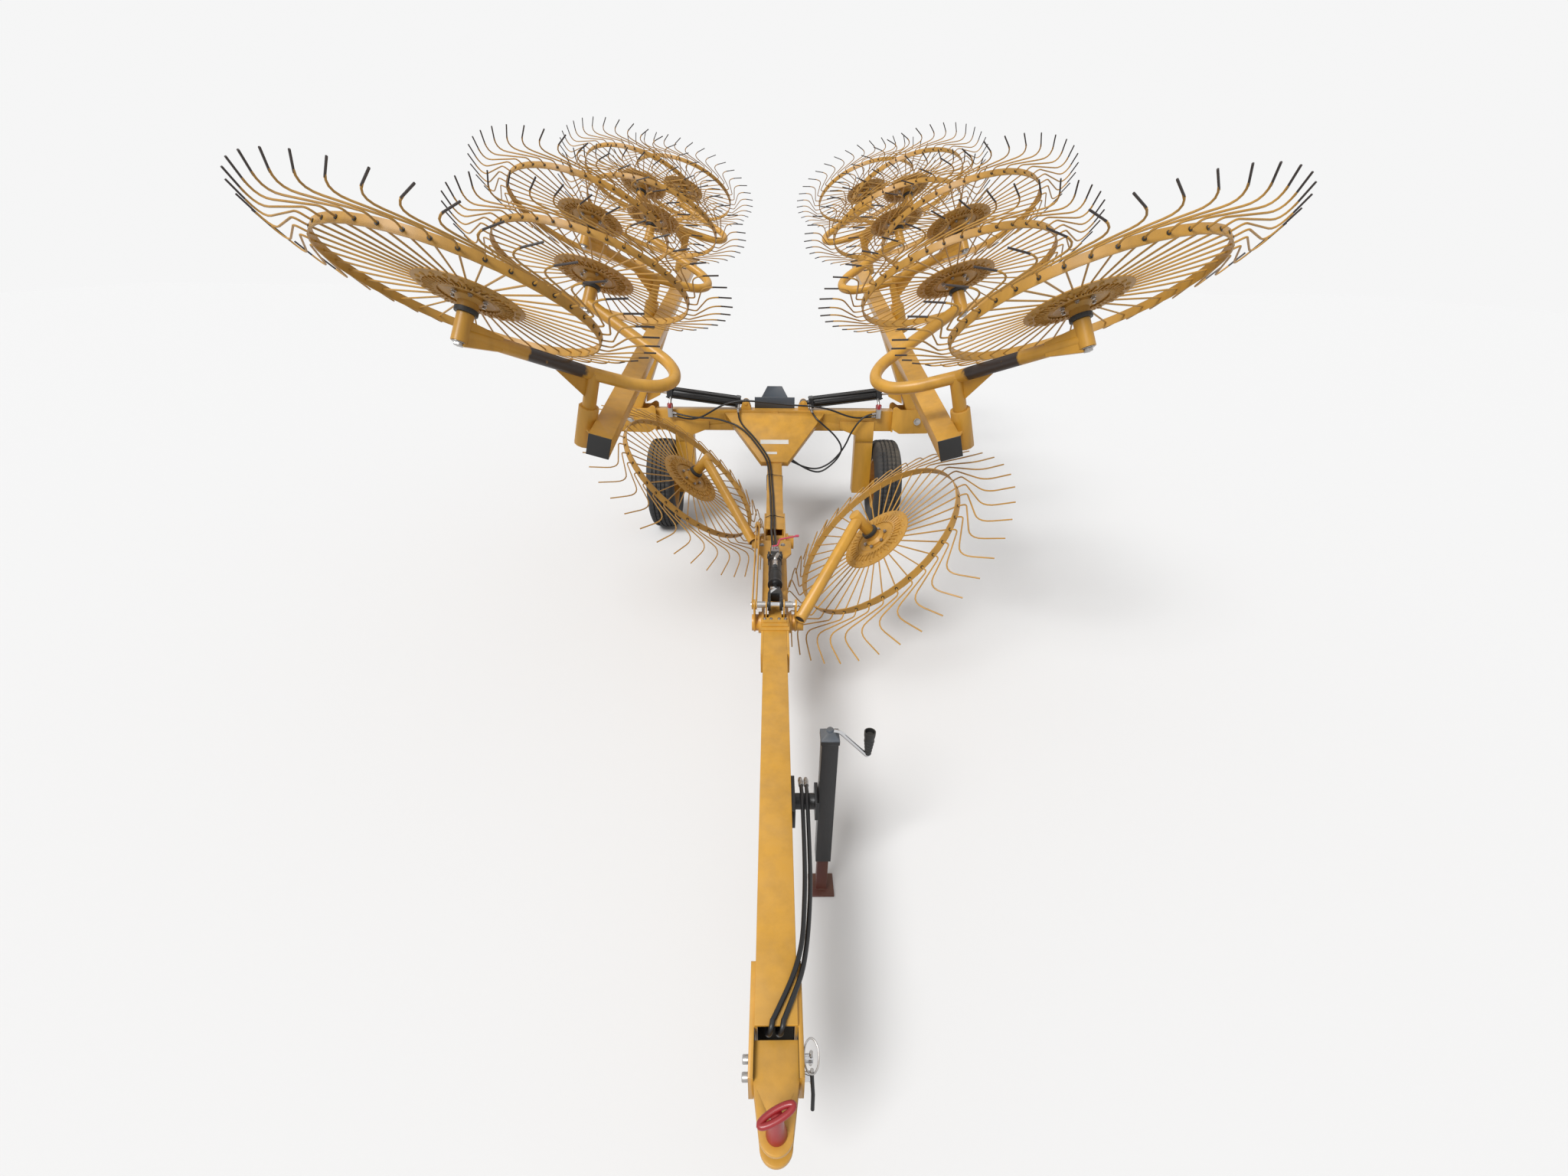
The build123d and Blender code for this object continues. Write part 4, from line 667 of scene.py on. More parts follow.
def pressed_disc(steps=DISC_STEPS):
    """Both faces of the disc and its inner and outer edge."""
    points = []
    for face in (1, -1):
        for radius in DISC_RINGS:
            for step in range(steps):
                angle = 2 * math.pi * step / steps
                level = disc_height(radius, angle) + face * DISC_T / 2
                points.append((radius * math.cos(angle), radius * math.sin(angle), level))
    upper = ring_faces(len(DISC_RINGS), steps)
    count = len(DISC_RINGS) * steps
    lower = [tuple(index + count for index in face)[::-1] for face in upper]
    edge = []
    for ring, turn in ((0, -1), (len(DISC_RINGS) - 1, 1)):
        first = ring * steps
        for step in range(steps):
            nxt = (step + 1) % steps
            quad = (first + step, first + nxt, count + first + nxt, count + first + step)
            edge.append(quad[::-turn] if turn > 0 else quad)
    return points, upper + lower + edge


print("faces of the disc", len(pressed_disc()[1]))

# %% [markdown]
# A wheel is forty turns of the tine with its rim, disc and hub. At the disc each wire ends
# in a small hook, and between every other two wires sits a raised head. The hub is
# turned, with a dark seal at its back and six bolts. The wheel is built once, because all
# wheels of the booms are alike.

# %% Rake wheel mesh
RIM_HALF = 0.017
RIM_T = 0.005
HOLE_R = 0.0075
HOLE_T = 0.0012
HOLE_SUNK = 0.0004
HEAD_RING = 0.166
HEAD_PROFILE = [(0.0095, 0), (0.0085, 0.003), (0.005, 0.005), (CORE, 0.0055)]
HOOK_LIFT = -(DISC_T / 2 + WIRE_R)
HOOK_ROUTE = [
    (0.152, 0, HOOK_LIFT), (0.112, 0, HOOK_LIFT), (0.104, 0.011, HOOK_LIFT), (0.120, 0.013, HOOK_LIFT)
]
HUB_PROFILE = [
    (CORE, -0.060), (0.032, -0.060), (0.036, -0.056), (0.036, -0.020), (0.052, -0.006), (0.052, 0.006),
    (0.034, 0.012), (0.030, 0.022), (CORE, 0.024),
]
SEAL_PROFILE = [
    (CORE, -0.0605), (0.040, -0.0605), (0.041, -0.058), (0.041, -0.044), (0.036, -0.042), (CORE, -0.042)
]
HUB_BOLTS = 6
HUB_BOLT = (0.007, 0.009)  # radius, height
HUB_BOLT_PLACE = axis_place((0.060, 0, -0.004), (0, 0, -1))


def tined_rim(wheel, tine_end, worn):
    """Forty tines through the holes of a flat strap."""
    shape, marks = wire_tine(tine_end, worn)
    # Each hole is a thin black disc on both faces of the strap: painted shade in the hole round the wire.
    hole = turned([(HOLE_R, 0), (HOLE_R, HOLE_T), (CORE, HOLE_T)], 8)
    for index in range(TINES):
        turn = Matrix.Rotation(2 * math.pi / TINES * (index + 0.5), 4, "Z")
        wheel.add(shape, "wheel_paint", turn, tip=marks)
        for radius, side in ((RIM_R, 1), (RIM_R - RIM_T, -1)):
            place = turn @ axis_place((radius - side * HOLE_SUNK, 0, 0), (side, 0, 0))
            wheel.add(hole, "black_plastic", place)
    wheel.add(collar(RIM_R - RIM_T, RIM_R, -RIM_HALF, RIM_HALF, TINES), "wheel_paint")


def hooks_and_heads(wheel):
    """The wires' hooks on the disc and the heads that hold them."""
    hook = swept(rounded(HOOK_ROUTE, [0.006, 0.006], 2), WIRE_R, WIRE_SIDES)
    for index in range(TINES):
        wheel.add(hook, "wheel_paint", Matrix.Rotation(2 * math.pi / TINES * (index + 0.5), 4, "Z"))
    head = turned(HEAD_PROFILE, 8)
    for index in range(TINES // 2):
        turn = Matrix.Rotation(2 * (2 * math.pi / TINES) * index, 4, "Z")
        for side in (1, -1):
            on_face = axis_place((HEAD_RING, 0, side * DISC_T / 2), (0, 0, side))
            wheel.add(head, "wheel_paint", turn @ on_face)


def rake_wheel_mesh(tine_end, worn):
    """Wheel pile in its own axes, Z away from the hub side."""
    wheel = Pile("wheel_paint", "black_plastic", "zinc")
    tined_rim(wheel, tine_end, worn)
    wheel.add(pressed_disc(), "wheel_paint")
    hooks_and_heads(wheel)
    wheel.add(turned(HUB_PROFILE), "wheel_paint")
    wheel.add(turned(SEAL_PROFILE), "black_plastic")
    for index in range(HUB_BOLTS):
        turn = Matrix.Rotation(math.radians(360 / HUB_BOLTS * index), 4, "Z")
        wheel.add(hex_bolt(*HUB_BOLT), "zinc", turn @ HUB_BOLT_PLACE)
    return wheel


boom_wheel = rake_wheel_mesh(BOOM_TINE_END, 1.0)
print("rake wheel faces", len(boom_wheel.faces))

# %% [markdown]
# Twelve wheels hang on the booms, six a side, and the left ones are mirrored so that
# their tines sweep the other way. Each is set on the axis of its joint and takes the
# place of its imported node, which goes on doing the work in the simulation.

# %% Wheels of the booms
def placed_wheel(pile, node, joint_name, mirrored):
    """Wheel piece at its joint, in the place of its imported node."""
    joint = joints[joint_name]
    axis = Vector(joint["axis"])
    centre = Vector(joint["pos_m"])
    if mirrored:
        place = MIRROR_X @ axis_place(MIRROR_X @ centre, MIRROR_X.to_3x3() @ axis)
    else:
        place = axis_place(centre, axis)
    moved = Pile(*pile.finish_names)
    moved.points = [place @ point for point in pile.points]
    moved.faces = [face[::-1] for face in pile.faces] if mirrored else pile.faces
    moved.paints = pile.paints
    moved.tips = pile.tips
    piece = moved.piece(f"{node}_wires", joint["child"])
    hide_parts(node)
    return piece


for side in ("right", "left"):
    for number in range(1, 7):
        placed_wheel(boom_wheel, f"rake_wheel_{number}_{side}", f"rake_{number}_{side}_spin", side == "left")
    print("wheels on the boom", side, number)

# %% [markdown]
# The two centre wheels hang low on the frame, and their tines still have their paint and
# reach further out of the wheel's plane. So the same wheel is made again with the other
# tine and without the worn tips. Their hubs face up and inward.

# %% Centre wheels
centre_wheel = rake_wheel_mesh(CENTRE_TINE_END, 0.0)
for place_name, mirrored in (("front", False), ("rear", True)):
    joint = joints[f"centre_rake_{place_name}_spin"]
    joint["axis"] = [-value for value in joint["axis"]]
    centre_piece = placed_wheel(centre_wheel, f"centre_wheel_{place_name}", joint["name"], mirrored)
    print(centre_piece.name, "at", [round(value, 3) for value in joint["pos_m"]])

# %% [markdown]
# A boom leans inward and rises to the rear, and the wheels' hubs are skewed on it. Every
# offset on a boom is easier to give along the boom's own three directions, so these are
# worked out once from the two angles of its beam and the skew of the hubs.

# %% Directions along a boom
BOOM_LEAN = math.radians(17)
BOOM_RISE = math.radians(9)
HUB_SKEW = math.radians(35)

boom_up = Vector((
    -math.sin(BOOM_LEAN),
    -math.sin(BOOM_RISE) * math.cos(BOOM_LEAN),
    math.cos(BOOM_RISE) * math.cos(BOOM_LEAN),
))
boom_back = Vector((0, math.cos(BOOM_RISE), math.sin(BOOM_RISE)))
boom_out = boom_back.cross(boom_up)
hub_axis = boom_up * math.cos(HUB_SKEW) + boom_back * math.sin(HUB_SKEW)


def boom_vector(offset):
    """World direction of an offset given as up, outward and rearward."""
    return boom_up * offset[0] + boom_out * offset[1] + boom_back * offset[2]


def plate_place(origin, x_dir, y_hint, thickness):
    """Matrix that lays a cut plate's middle plane at origin, X along x_dir."""
    x_axis = x_dir.normalized()
    z_axis = x_axis.cross(y_hint).normalized()
    y_axis = z_axis.cross(x_axis)
    turn = Matrix((x_axis, y_axis, z_axis)).transposed().to_4x4()
    return Matrix.Translation(origin - z_axis * thickness / 2) @ turn


print("hub axis of the right boom", [round(value, 3) for value in hub_axis])

# %% [markdown]
# Each spindle of a boom carries two arms of round tube: a straight one out to one wheel
# and one bent like a crook back to the other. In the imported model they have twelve
# sides. Here the same routes are swept with rounder sections and softer bends. The
# straight arm of the first pair is stained dark on the half next to its spindle, by the
# attribute that the finish reads.

# %% Arms of the booms
OUTER_HUB = (0.286, 0.395, -0.335)
BENT_ROUTE = [
    (0, 0, 0), (0.004, -0.190, 0.010), (0.010, -0.290, 0.050),
    (0.024, -0.345, 0.130), (0.038, -0.338, 0.205), (0.052, -0.290, 0.275),
]
BENT_CURVES = [0.050, 0.045, 0.036, 0.036, 0.042]
ARM_R = 0.028
STUB_R = 0.030
STUB_FAR = 0.130
STUB_BACK = 0.034
HUB_LENGTH = 0.060
HUB_CLEAR = 1.005
STUB_NUT = (0.019, 0.014)
SPINDLE_NUT = (0.016, 0.012)
SPINDLE_R = 0.031
SPINDLE_DROP = 0.351
SPINDLE_PROUD = 0.008
SPINDLE_SHIFT = -0.004
BOX_LENGTH = 0.150
BOX_HALF = 0.024
BOX_NARROW = 0.027
BOX_WIDE = 0.048
WEB_DOWN = 0.120
WEB_SHARE = 0.42
WEB_T = 0.008
ROUND_SIDES = 24
# Share of the arm's length and how dark the burnt stain is there
STAIN_STEPS = [
    (0, 0), (0.10, 0.45), (0.18, 0.95), (0.34, 0.85), (0.42, 0.55), (0.52, 0.70), (0.60, 0), (1, 0)
]


def hub_stub(pile, hub, axis):
    """Stub that carries a rake wheel, with its lock nut at the back."""
    back = hub - axis * (STUB_FAR + STUB_BACK)
    pile.add(swept([back, hub - axis * HUB_LENGTH * HUB_CLEAR], STUB_R, ROUND_SIDES))
    pile.add(hex_bolt(*STUB_NUT), "zinc", axis_place(back, -axis))


def straight_arm(pile, head, arm, stain):
    """Stained tube with the box at its outer end and the web under its root."""
    tube = swept([head + arm * share for share, _ in STAIN_STEPS], ARM_R, ROUND_SIDES)
    marks = [stain * dark for _, dark in STAIN_STEPS for _ in range(ROUND_SIDES)]
    pile.add(tube, "yellow_paint", None, tip=marks)
    box = [
        (arm.length - BOX_LENGTH, -BOX_NARROW), (arm.length, -BOX_WIDE),
        (arm.length, BOX_WIDE), (arm.length - BOX_LENGTH, BOX_NARROW),
    ]
    box_place = plate_place(head, arm, hub_axis, 2 * BOX_HALF)
    pile.add(cut_plate(box, 2 * BOX_HALF), "yellow_paint", box_place)
    web = [(0, 0), (arm.length * WEB_SHARE, 0), (WEB_DOWN * -boom_up.dot(arm.normalized()), -WEB_DOWN)]
    pile.add(cut_plate(web[::-1], WEB_T), "yellow_paint", plate_place(head, arm, boom_up, WEB_T))


def spindle_arms(pile, hub_out, hub_in, stain):
    """Spindle, straight arm, bent arm and stubs of one pair of wheels on the right boom."""
    head = hub_out - boom_vector(OUTER_HUB)
    foot = head + boom_vector((-SPINDLE_DROP, SPINDLE_SHIFT, 0))
    top = head + boom_vector((SPINDLE_PROUD, SPINDLE_SHIFT, 0))
    pile.add(swept([foot, top], SPINDLE_R, ROUND_SIDES))
    pile.add(hex_bolt(*SPINDLE_NUT), "zinc", axis_place(top, boom_up))
    straight_arm(pile, head, hub_out - hub_axis * STUB_FAR - head, stain)
    bent = [head + boom_vector(corner) for corner in BENT_ROUTE] + [hub_in - hub_axis * STUB_FAR]
    pile.add(swept(rounded(bent, BENT_CURVES, 6), ARM_R, ROUND_SIDES))
    for hub in (hub_out, hub_in):
        hub_stub(pile, hub, hub_axis)


for side in ("right", "left"):
    arms = Pile("yellow_paint", "zinc")
    for number in (1, 3, 5):
        hubs = [Vector(joints[f"rake_{index}_right_spin"]["pos_m"]) for index in (number, number + 1)]
        spindle_arms(arms, *hubs, stain=1.0 if number == 1 else 0.0)
    if side == "left":
        arms.points = [MIRROR_X @ point for point in arms.points]
        arms.faces = [face[::-1] for face in arms.faces]
    arms_piece = arms.piece(f"arms_{side}_round", f"boom_{side}", rounding=EDGE_ROUND)
    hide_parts(f"arms_{side}")
print("arm faces", len(arms.faces))

# %% [markdown]
# The hydraulic hoses follow their routes, and each has its real length in the table. A NURBS
# curve follows the corners of the route smoothly, which is how a stiff hose lies, where
# straight runs would look like bent wire. Corners are X, distance behind the hitch pin and
# height, all in metres.

# %% Hose routes
HOSE_R = 0.0065
HOSE_PAIR = 0.009
FRAME_SLOPE = math.radians(3.5)
BAR_TOP = 0.430
RIGHT_INNER = [  # from the rear tube's side to the inner port
    (0.0534, 4.046, 0.618), (0.11, 4.046, 0.6), (0.181, 4.046, 0.543), (0.27, 4.044, 0.494),
    (0.35, 4.044, 0.478), (0.428, 4.046, 0.531), (0.491, 4.048, 0.602), (0.514, 4.05, 0.675),
    (0.455, 4.036, 0.768), (0.352, 4.008, 0.86), (0.292, 4.036, 0.906), (0.2706, 4.096, 0.9406),
]
RIGHT_OUTER = [  # in a wider loop to the outer port
    (0.0542, 4.066, 0.594), (0.128, 4.068, 0.56), (0.231, 4.068, 0.512), (0.329, 4.068, 0.496),
    (0.425, 4.068, 0.542), (0.499, 4.07, 0.622), (0.545, 4.072, 0.701), (0.572, 4.076, 0.775),
    (0.632, 4.084, 0.868), (0.692, 4.09, 0.912), (0.7537, 4.092, 0.92),
]
CROSS_OVER = [  # over the cross-beam to the left outer port
    (0.7534, 4.108, 0.897), (0.645, 4.108, 0.878), (0.539, 4.08, 0.901), (0.425, 4.06, 0.95),
    (0.31, 4.06, 0.975), (0.19, 4.058, 0.982), (0.07, 4.06, 0.988), (-0.062, 4.058, 1.003),
    (-0.18, 4.06, 1.014), (-0.284, 4.06, 1.009), (-0.38, 4.062, 0.984), (-0.462, 4.064, 0.936),
    (-0.552, 4.068, 0.884), (-0.658, 4.09, 0.866), (-0.7524, 4.108, 0.895),
]
LEFT_OUTER = [  # down to the gusset's foot
    (-0.7525, 4.092, 0.918), (-0.65, 4.064, 0.896), (-0.541, 4.038, 0.893), (-0.444, 4.02, 0.896),
    (-0.349, 4.0, 0.876), (-0.262, 3.98, 0.85), (-0.18, 3.905, 0.8), (-0.106, 3.797, 0.734),
    (-0.06, 3.722, 0.689),
]
LEFT_INNER = [  # down to the gusset's foot
    (-0.2699, 4.0963, 0.9404), (-0.268, 4.045, 0.9), (-0.236, 3.98, 0.855), (-0.154, 3.896, 0.799),
    (-0.081, 3.79, 0.733), (-0.039, 3.716, 0.689),
]
FRAME_RUN = [  # on the frame: X, behind, above its top face
    (-0.034, 3.61, 0.0068), (-0.028, 3.46, 0.0068), (-0.024, 3.3, 0.0068), (-0.017, 3.14, 0.0068),
    (-0.015, 2.98, 0.0068), (-0.01, 2.82, 0.0068), (-0.012, 2.665, 0.015), (-0.006, 2.525, 0.0323),
    (-0.003, 2.4003, 0.0323),
]
DRAWBAR_INNER = [  # from the mouth back to the jack
    (-0.008, 0.199, 0.4491), (0.02, 0.25, 0.4528), (0.048, 0.308, 0.4578), (0.069, 0.385, 0.452),
    (0.077, 0.474, 0.444), (0.084, 0.575, 0.438), (0.086, 0.68, 0.448), (0.086, 0.775, 0.461),
    (0.086, 0.86, 0.4695), (0.085, 0.93, 0.44),
]
DRAWBAR_OUTER = [
    (0.018, 0.199, 0.4491), (0.042, 0.25, 0.455), (0.065, 0.304, 0.454), (0.081, 0.386, 0.438),
    (0.092, 0.477, 0.43), (0.1, 0.575, 0.426), (0.102, 0.68, 0.436), (0.102, 0.775, 0.455),
    (0.102, 0.86, 0.4698), (0.103, 0.93, 0.44),
]


def behind(distance):
    """Y of a place that lies this far behind the hitch pin."""
    return hitch_y + distance


def frame_top(distance):
    """Height of the sloping frame's top face."""
    return BAR_TOP + distance * math.tan(FRAME_SLOPE)


def on_frame(x, distance, above):
    """Place above the frame's sloping top face."""
    y = behind(distance) - above * math.sin(FRAME_SLOPE)
    return Vector((x, y, frame_top(distance) + above * math.cos(FRAME_SLOPE)))


def in_frame(corners):
    return [Vector((x, behind(distance), z)) for x, distance, z in corners]


def left_route(fall, shift):
    """Corners down to the gusset's foot and on along the frame."""
    return in_frame(fall) + [on_frame(x + shift, distance, above) for x, distance, above in FRAME_RUN]


hose_routes = {
    "hose_right_inner": (in_frame(RIGHT_INNER), 1.009),
    "hose_right_outer": (in_frame(RIGHT_OUTER), 0.931),
    "hose_cross_over": (in_frame(CROSS_OVER), 1.573),
    "hose_left_outer": (left_route(LEFT_OUTER, -HOSE_PAIR), 2.213),
    "hose_left_inner": (left_route(LEFT_INNER, HOSE_PAIR), 1.849),
    "hose_drawbar_inner": (in_frame(DRAWBAR_INNER), 0.756),
    "hose_drawbar_outer": (in_frame(DRAWBAR_OUTER), 0.755),
}
print("hoses", len(hose_routes), "metres", round(sum(length for _, length in hose_routes.values()), 2))

# %% [markdown]
# A hose ends in a crimped ferrule with a hexagon nut, and the two on the drawbar end in
# plug couplings by the jack. A bent or beaded piece would need modelling by hand, but all
# of these are round, so that a turned profile says everything about them.

# %% Hose fittings
FERRULE_R = 0.0088
CRIMPS = 4
CRIMP_STEP = 0.005
CRIMP_DEPTH = 0.0009
NUT_R = 0.0105
NUT_HIGH = 0.008
COUPLING_R = 0.0085
COUPLING_PROFILE = [
    (CORE, -0.018), (0.0078, -0.018), (COUPLING_R, -0.016), (COUPLING_R, 0.004),
    (0.0070, 0.006), (0.0070, 0.012), (COUPLING_R, 0.014), (COUPLING_R, 0.026),
    (0.0065, 0.028), (0.0065, 0.040), (CORE, 0.042),
]


def ferrule():
    """Crimped sleeve, with Z towards the hose."""
    sleeve = [(CORE, 0.004), (FERRULE_R, 0.004)]
    for index in range(CRIMPS):
        sleeve += [
            (FERRULE_R, 0.008 + index * CRIMP_STEP),
            (FERRULE_R - CRIMP_DEPTH, 0.0095 + index * CRIMP_STEP),
        ]
    sleeve += [(FERRULE_R, 0.028), (HOSE_R, 0.030), (CORE, 0.030)]
    return turned(sleeve, 16)


def hose_ends(corners, on_drawbar):
    """Pile of the fittings at the ends of one hose."""
    ends = Pile("zinc")
    if on_drawbar:
        away = axis_place(corners[-1], corners[-1] - corners[-2])
        ends.add(turned(COUPLING_PROFILE, 20), "zinc", away)
        return ends
    for end, nxt in ((corners[0], corners[1]), (corners[-1], corners[-2])):
        inward = axis_place(end, nxt - end)
        ends.add(ferrule(), "zinc", inward)
        ends.add(stub(NUT_R, 0, NUT_HIGH, 6), "zinc", inward)
    return ends


print("points in a ferrule", len(ferrule()[0]))

# %% [markdown]
# The hose itself is a curve with a round bevel. A chain of short cylinders would show its
# joints, while the curve stays smooth and keeps its length. It rides on the main body, and
# its fittings at its ends are a piece of their own.

# %% Hose curves
def hose_curve(name, corners):
    """Smooth round curve that takes the corners as its control points."""
    curve = bpy.data.curves.new(name, "CURVE")
    curve.dimensions = "3D"
    spline = curve.splines.new("NURBS")
    spline.points.add(len(corners) - 1)
    for point, corner in zip(spline.points, corners):
        point.co = (*corner, 1)
    spline.order_u = 3
    spline.use_endpoint_u = True
    spline.resolution_u = 8
    curve.bevel_depth = HOSE_R
    curve.bevel_resolution = 4
    curve.use_fill_caps = True
    curve.materials.append(finishes["hose_rubber"])
    obj = bpy.data.objects.new(name, curve)
    bpy.context.scene.collection.objects.link(obj)
    return obj


for node, (corners, length) in hose_routes.items():
    on_drawbar = "drawbar" in node
    hose = hose_curve(f"{node}_line", corners)
    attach(hose, "main")
    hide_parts(node)
    ends_piece = hose_ends(corners, on_drawbar).piece(f"{node}_ends", "main")
    print(node, "corners", len(corners))

# %% [markdown]
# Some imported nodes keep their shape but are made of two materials, such as a yellow
# rocker with a bare steel pin. The pieces could be cut apart, but their faces can simply
# get a second finish by where they lie, which leaves the shape untouched.

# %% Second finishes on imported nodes
FORK_START = 0.100
PIN_REACH = 0.0125
OUTER_FITTING_X = 0.752
OUTER_FITTING_AT = 4.120
INNER_FITTING_X = 0.29
INNER_FITTING_AT = 4.138


def paint_faces(node_name, finish, test):
    """Give a node's faces another finish where the test of their middle is true."""
    mesh = frame["nodes"][node_name].data
    mesh.materials.append(finishes[finish])
    painted = 0
    for face in mesh.polygons:
        if test(face.center, face.normal):
            face.material_index = len(mesh.materials) - 1
            painted += 1
    return painted


def off_axis(point, origin, direction):
    """Distance of a point from a line."""
    offset = Vector(point) - Vector(origin)
    along = Vector(direction).normalized()
    return (offset - along * offset.dot(along)).length


link_pin = Vector(joints["link_turn"]["pos_m"])
link_middle = Vector((0, link_pin.y, link_pin.z))
lift_base = Vector(joints["lift_barrel_tilt"]["pos_m"])
lift_dir = (link_middle - lift_base).normalized()
fork_at = (link_middle - lift_base).length - FORK_START


def on_fork(point, _):
    """True on the fork at the end of the lift cylinder's rod."""
    return (point - lift_base).dot(lift_dir) > fork_at


def on_link_pin(point, _):
    """True on the pin through the front rocker's ears."""
    return off_axis(point, link_pin, (1, 0, 0)) < PIN_REACH


def on_outer_fitting(point, _):
    """True on the oil port at the outer end of a fold cylinder."""
    return abs(point.x) > OUTER_FITTING_X and point.y < behind(OUTER_FITTING_AT)


def on_inner_fitting(point, _):
    """True on the oil port at the inner end of a fold cylinder."""
    return abs(point.x) < INNER_FITTING_X and point.y < behind(INNER_FITTING_AT)


print("fork faces", paint_faces("lift_rod", "black_paint", on_fork))
print("pin faces", paint_faces("rocker_front", "rod_chrome", on_link_pin))
for side in ("left", "right"):
    outer_faces = paint_faces(f"fold_barrel_{side}", "zinc", on_outer_fitting)
    inner_faces = paint_faces(f"fold_barrel_{side}", "zinc", on_inner_fitting)
    print("port faces", side, outer_faces, inner_faces)

# %% [markdown]
# The inner walls of the drawbar's tube are painted black as painted shade, the jack's
# bracket and the lugs of the lift cylinder are black, and the jack has a slate cap. The
# tube's inner walls are the faces that look at its middle line.

# %% Painted shade in the drawbar and black brackets
TUBE_MIDDLE = 0.051
WALL_INWARD = -0.02
JACK_CAP_FROM = 0.713


def faces_inward(point, normal):
    """True for the walls inside the drawbar's tube, which get painted shade."""
    middle = Vector((0, point.y, frame_top(point.y - hitch_y) - TUBE_MIDDLE))
    return (point - middle).dot(normal) < WALL_INWARD


def on_jack_cap(point, normal):
    """True on the upper face of the jack's tube."""
    return point.z > JACK_CAP_FROM and normal.z > 0.5


# Painted shade: the tube's inner walls take the black finish.
print("drawbar walls", paint_faces("drawbar", "black_plastic", faces_inward))
for black_node in ("jack_bracket", "lift_lugs"):
    frame["nodes"][black_node].data.materials[0] = finishes["black_paint"]
print("jack cap faces", paint_faces("jack_tube", "slate", on_jack_cap))

# %% [markdown]
# The hitch has a loose drop pin with a moulded red grip. The grip is a long flat ring on
# a short cone, tilted like the one in the photograph, and the steel shank hangs below.
# A torus would be round, so a bar is carried round an oval path instead.

# %% Hitch pin
PIN_R = 0.013
PIN_LOW = 0.289
PIN_TOP = 0.455
GRIP_LONG = 0.038
GRIP_WIDE = 0.009
GRIP_BAR_R = 0.0068
GRIP_UP = 0.500
GRIP_TURN = math.radians(21)
GRIP_TILT = math.radians(-13)
SHANK_PROFILE = [
    (CORE, PIN_LOW), (0.008, PIN_LOW), (0.012, PIN_LOW + 0.008), (0.012, 0.349),
    (PIN_R, 0.350), (PIN_R, PIN_TOP), (CORE, PIN_TOP),
]
CONE_PROFILE = [
    (CORE, 0.4155), (0.0215, 0.4155), (0.0225, 0.419), (0.0205, 0.430),
    (0.0165, 0.452), (0.0150, 0.478), (0.0125, 0.496), (CORE, GRIP_UP),
]


def ring_path(long_half, wide_half, steps=28):
    """Closed oval in the XY plane."""
    turns = [2 * math.pi * step / steps for step in range(steps)]
    return [Vector((long_half * math.cos(turn), wide_half * math.sin(turn), 0)) for turn in turns]


def swept_ring(path, radius, sides=10):
    """Round bar along a closed flat path."""
    count = len(path)
    middle = sum(path, Vector()) / count
    normal = (path[0] - middle).cross(path[count // 4] - middle).normalized()
    points = []
    for index, point in enumerate(path):
        tangent = (path[(index + 1) % count] - path[index - 1]).normalized()
        across = tangent.cross(normal)
        for side in range(sides):
            angle = 2 * math.pi * side / sides
            points.append(point + (across * math.cos(angle) + normal * math.sin(angle)) * radius)
    return points, ring_faces(count, sides, closed=True)


hitch = Pile("zinc", "red_lever")
hitch.add(turned(SHANK_PROFILE, 28), "zinc", Matrix.Translation((0, hitch_y, 0)))
hitch.add(turned(CONE_PROFILE, 28), "red_lever", Matrix.Translation((0, hitch_y, 0)))
grip_turn = Matrix.Rotation(GRIP_TURN, 4, "Z") @ Matrix.Rotation(GRIP_TILT, 4, "Y")
grip_place = Matrix.Translation((0, hitch_y, GRIP_UP)) @ grip_turn
hitch.add(swept_ring(ring_path(GRIP_LONG, GRIP_WIDE), GRIP_BAR_R, 12), "red_lever", grip_place)
hitch_piece = hitch.piece("hitch_pin_red_grip", "main", slot=slot_of["hitch_pin"])
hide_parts("hitch_pin")
print("hitch pin faces", len(hitch.faces))

# %% [markdown]
# Two cross pins hold the tongue. On the left they show their heads, and on the right
# lynch pins keep them in, with a loop of steel wire and a short black strap. They are
# small enough to be plain turned and swept pieces, but each one is really there.

# %% Keepers at the hitch
TONGUE_MIDDLE = 0.382
CHEEK_OUT = 0.063
PIN_PLACES = (0.115, 0.150)
PIN_HEAD = [(CORE, 0), (0.0100, 0), (0.0100, 0.013), (0.0085, 0.0150), (CORE, 0.0155)]
PIN_TAIL = [(CORE, 0), (0.0105, 0), (0.0105, 0.022), (CORE, 0.023)]
LYNCH_X = CHEEK_OUT + 0.017
LYNCH_R = 0.0042
LYNCH_DOWN = 0.026
LYNCH_UP = 0.030
LOOP_AT = 0.140
LOOP_UP = 0.034
LOOP_TILT = math.radians(24)
LOOP_HALVES = (0.017, 0.033)
LOOP_WIRE_R = 0.0022
STRAP_R = 0.0045
STRAP_ROUTE = [(0, 0.112, 0.016), (0.002, 0.085, -0.010), (0.001, 0.070, -0.044)]

keepers = Pile("zinc", "rod_chrome", "black_paint")
for distance in PIN_PLACES:
    left_cheek = axis_place((-CHEEK_OUT, behind(distance), TONGUE_MIDDLE), (-1, 0, 0))
    right_cheek = axis_place((CHEEK_OUT, behind(distance), TONGUE_MIDDLE), (1, 0, 0))
    keepers.add(turned(PIN_HEAD, 20), "zinc", left_cheek)
    keepers.add(turned(PIN_TAIL, 20), "rod_chrome", right_cheek)
for distance in PIN_PLACES:
    lynch = [(LYNCH_X, behind(distance), TONGUE_MIDDLE + up) for up in (-LYNCH_DOWN, LYNCH_UP)]
    keepers.add(swept(lynch, LYNCH_R, 12), "zinc")
loop_at = Matrix.Translation((LYNCH_X, behind(LOOP_AT), TONGUE_MIDDLE + LOOP_UP))
loop_place = loop_at @ Matrix.Rotation(LOOP_TILT, 4, "X")
keepers.add(swept_ring(ring_path(*LOOP_HALVES), LOOP_WIRE_R, 8), "zinc", loop_place)
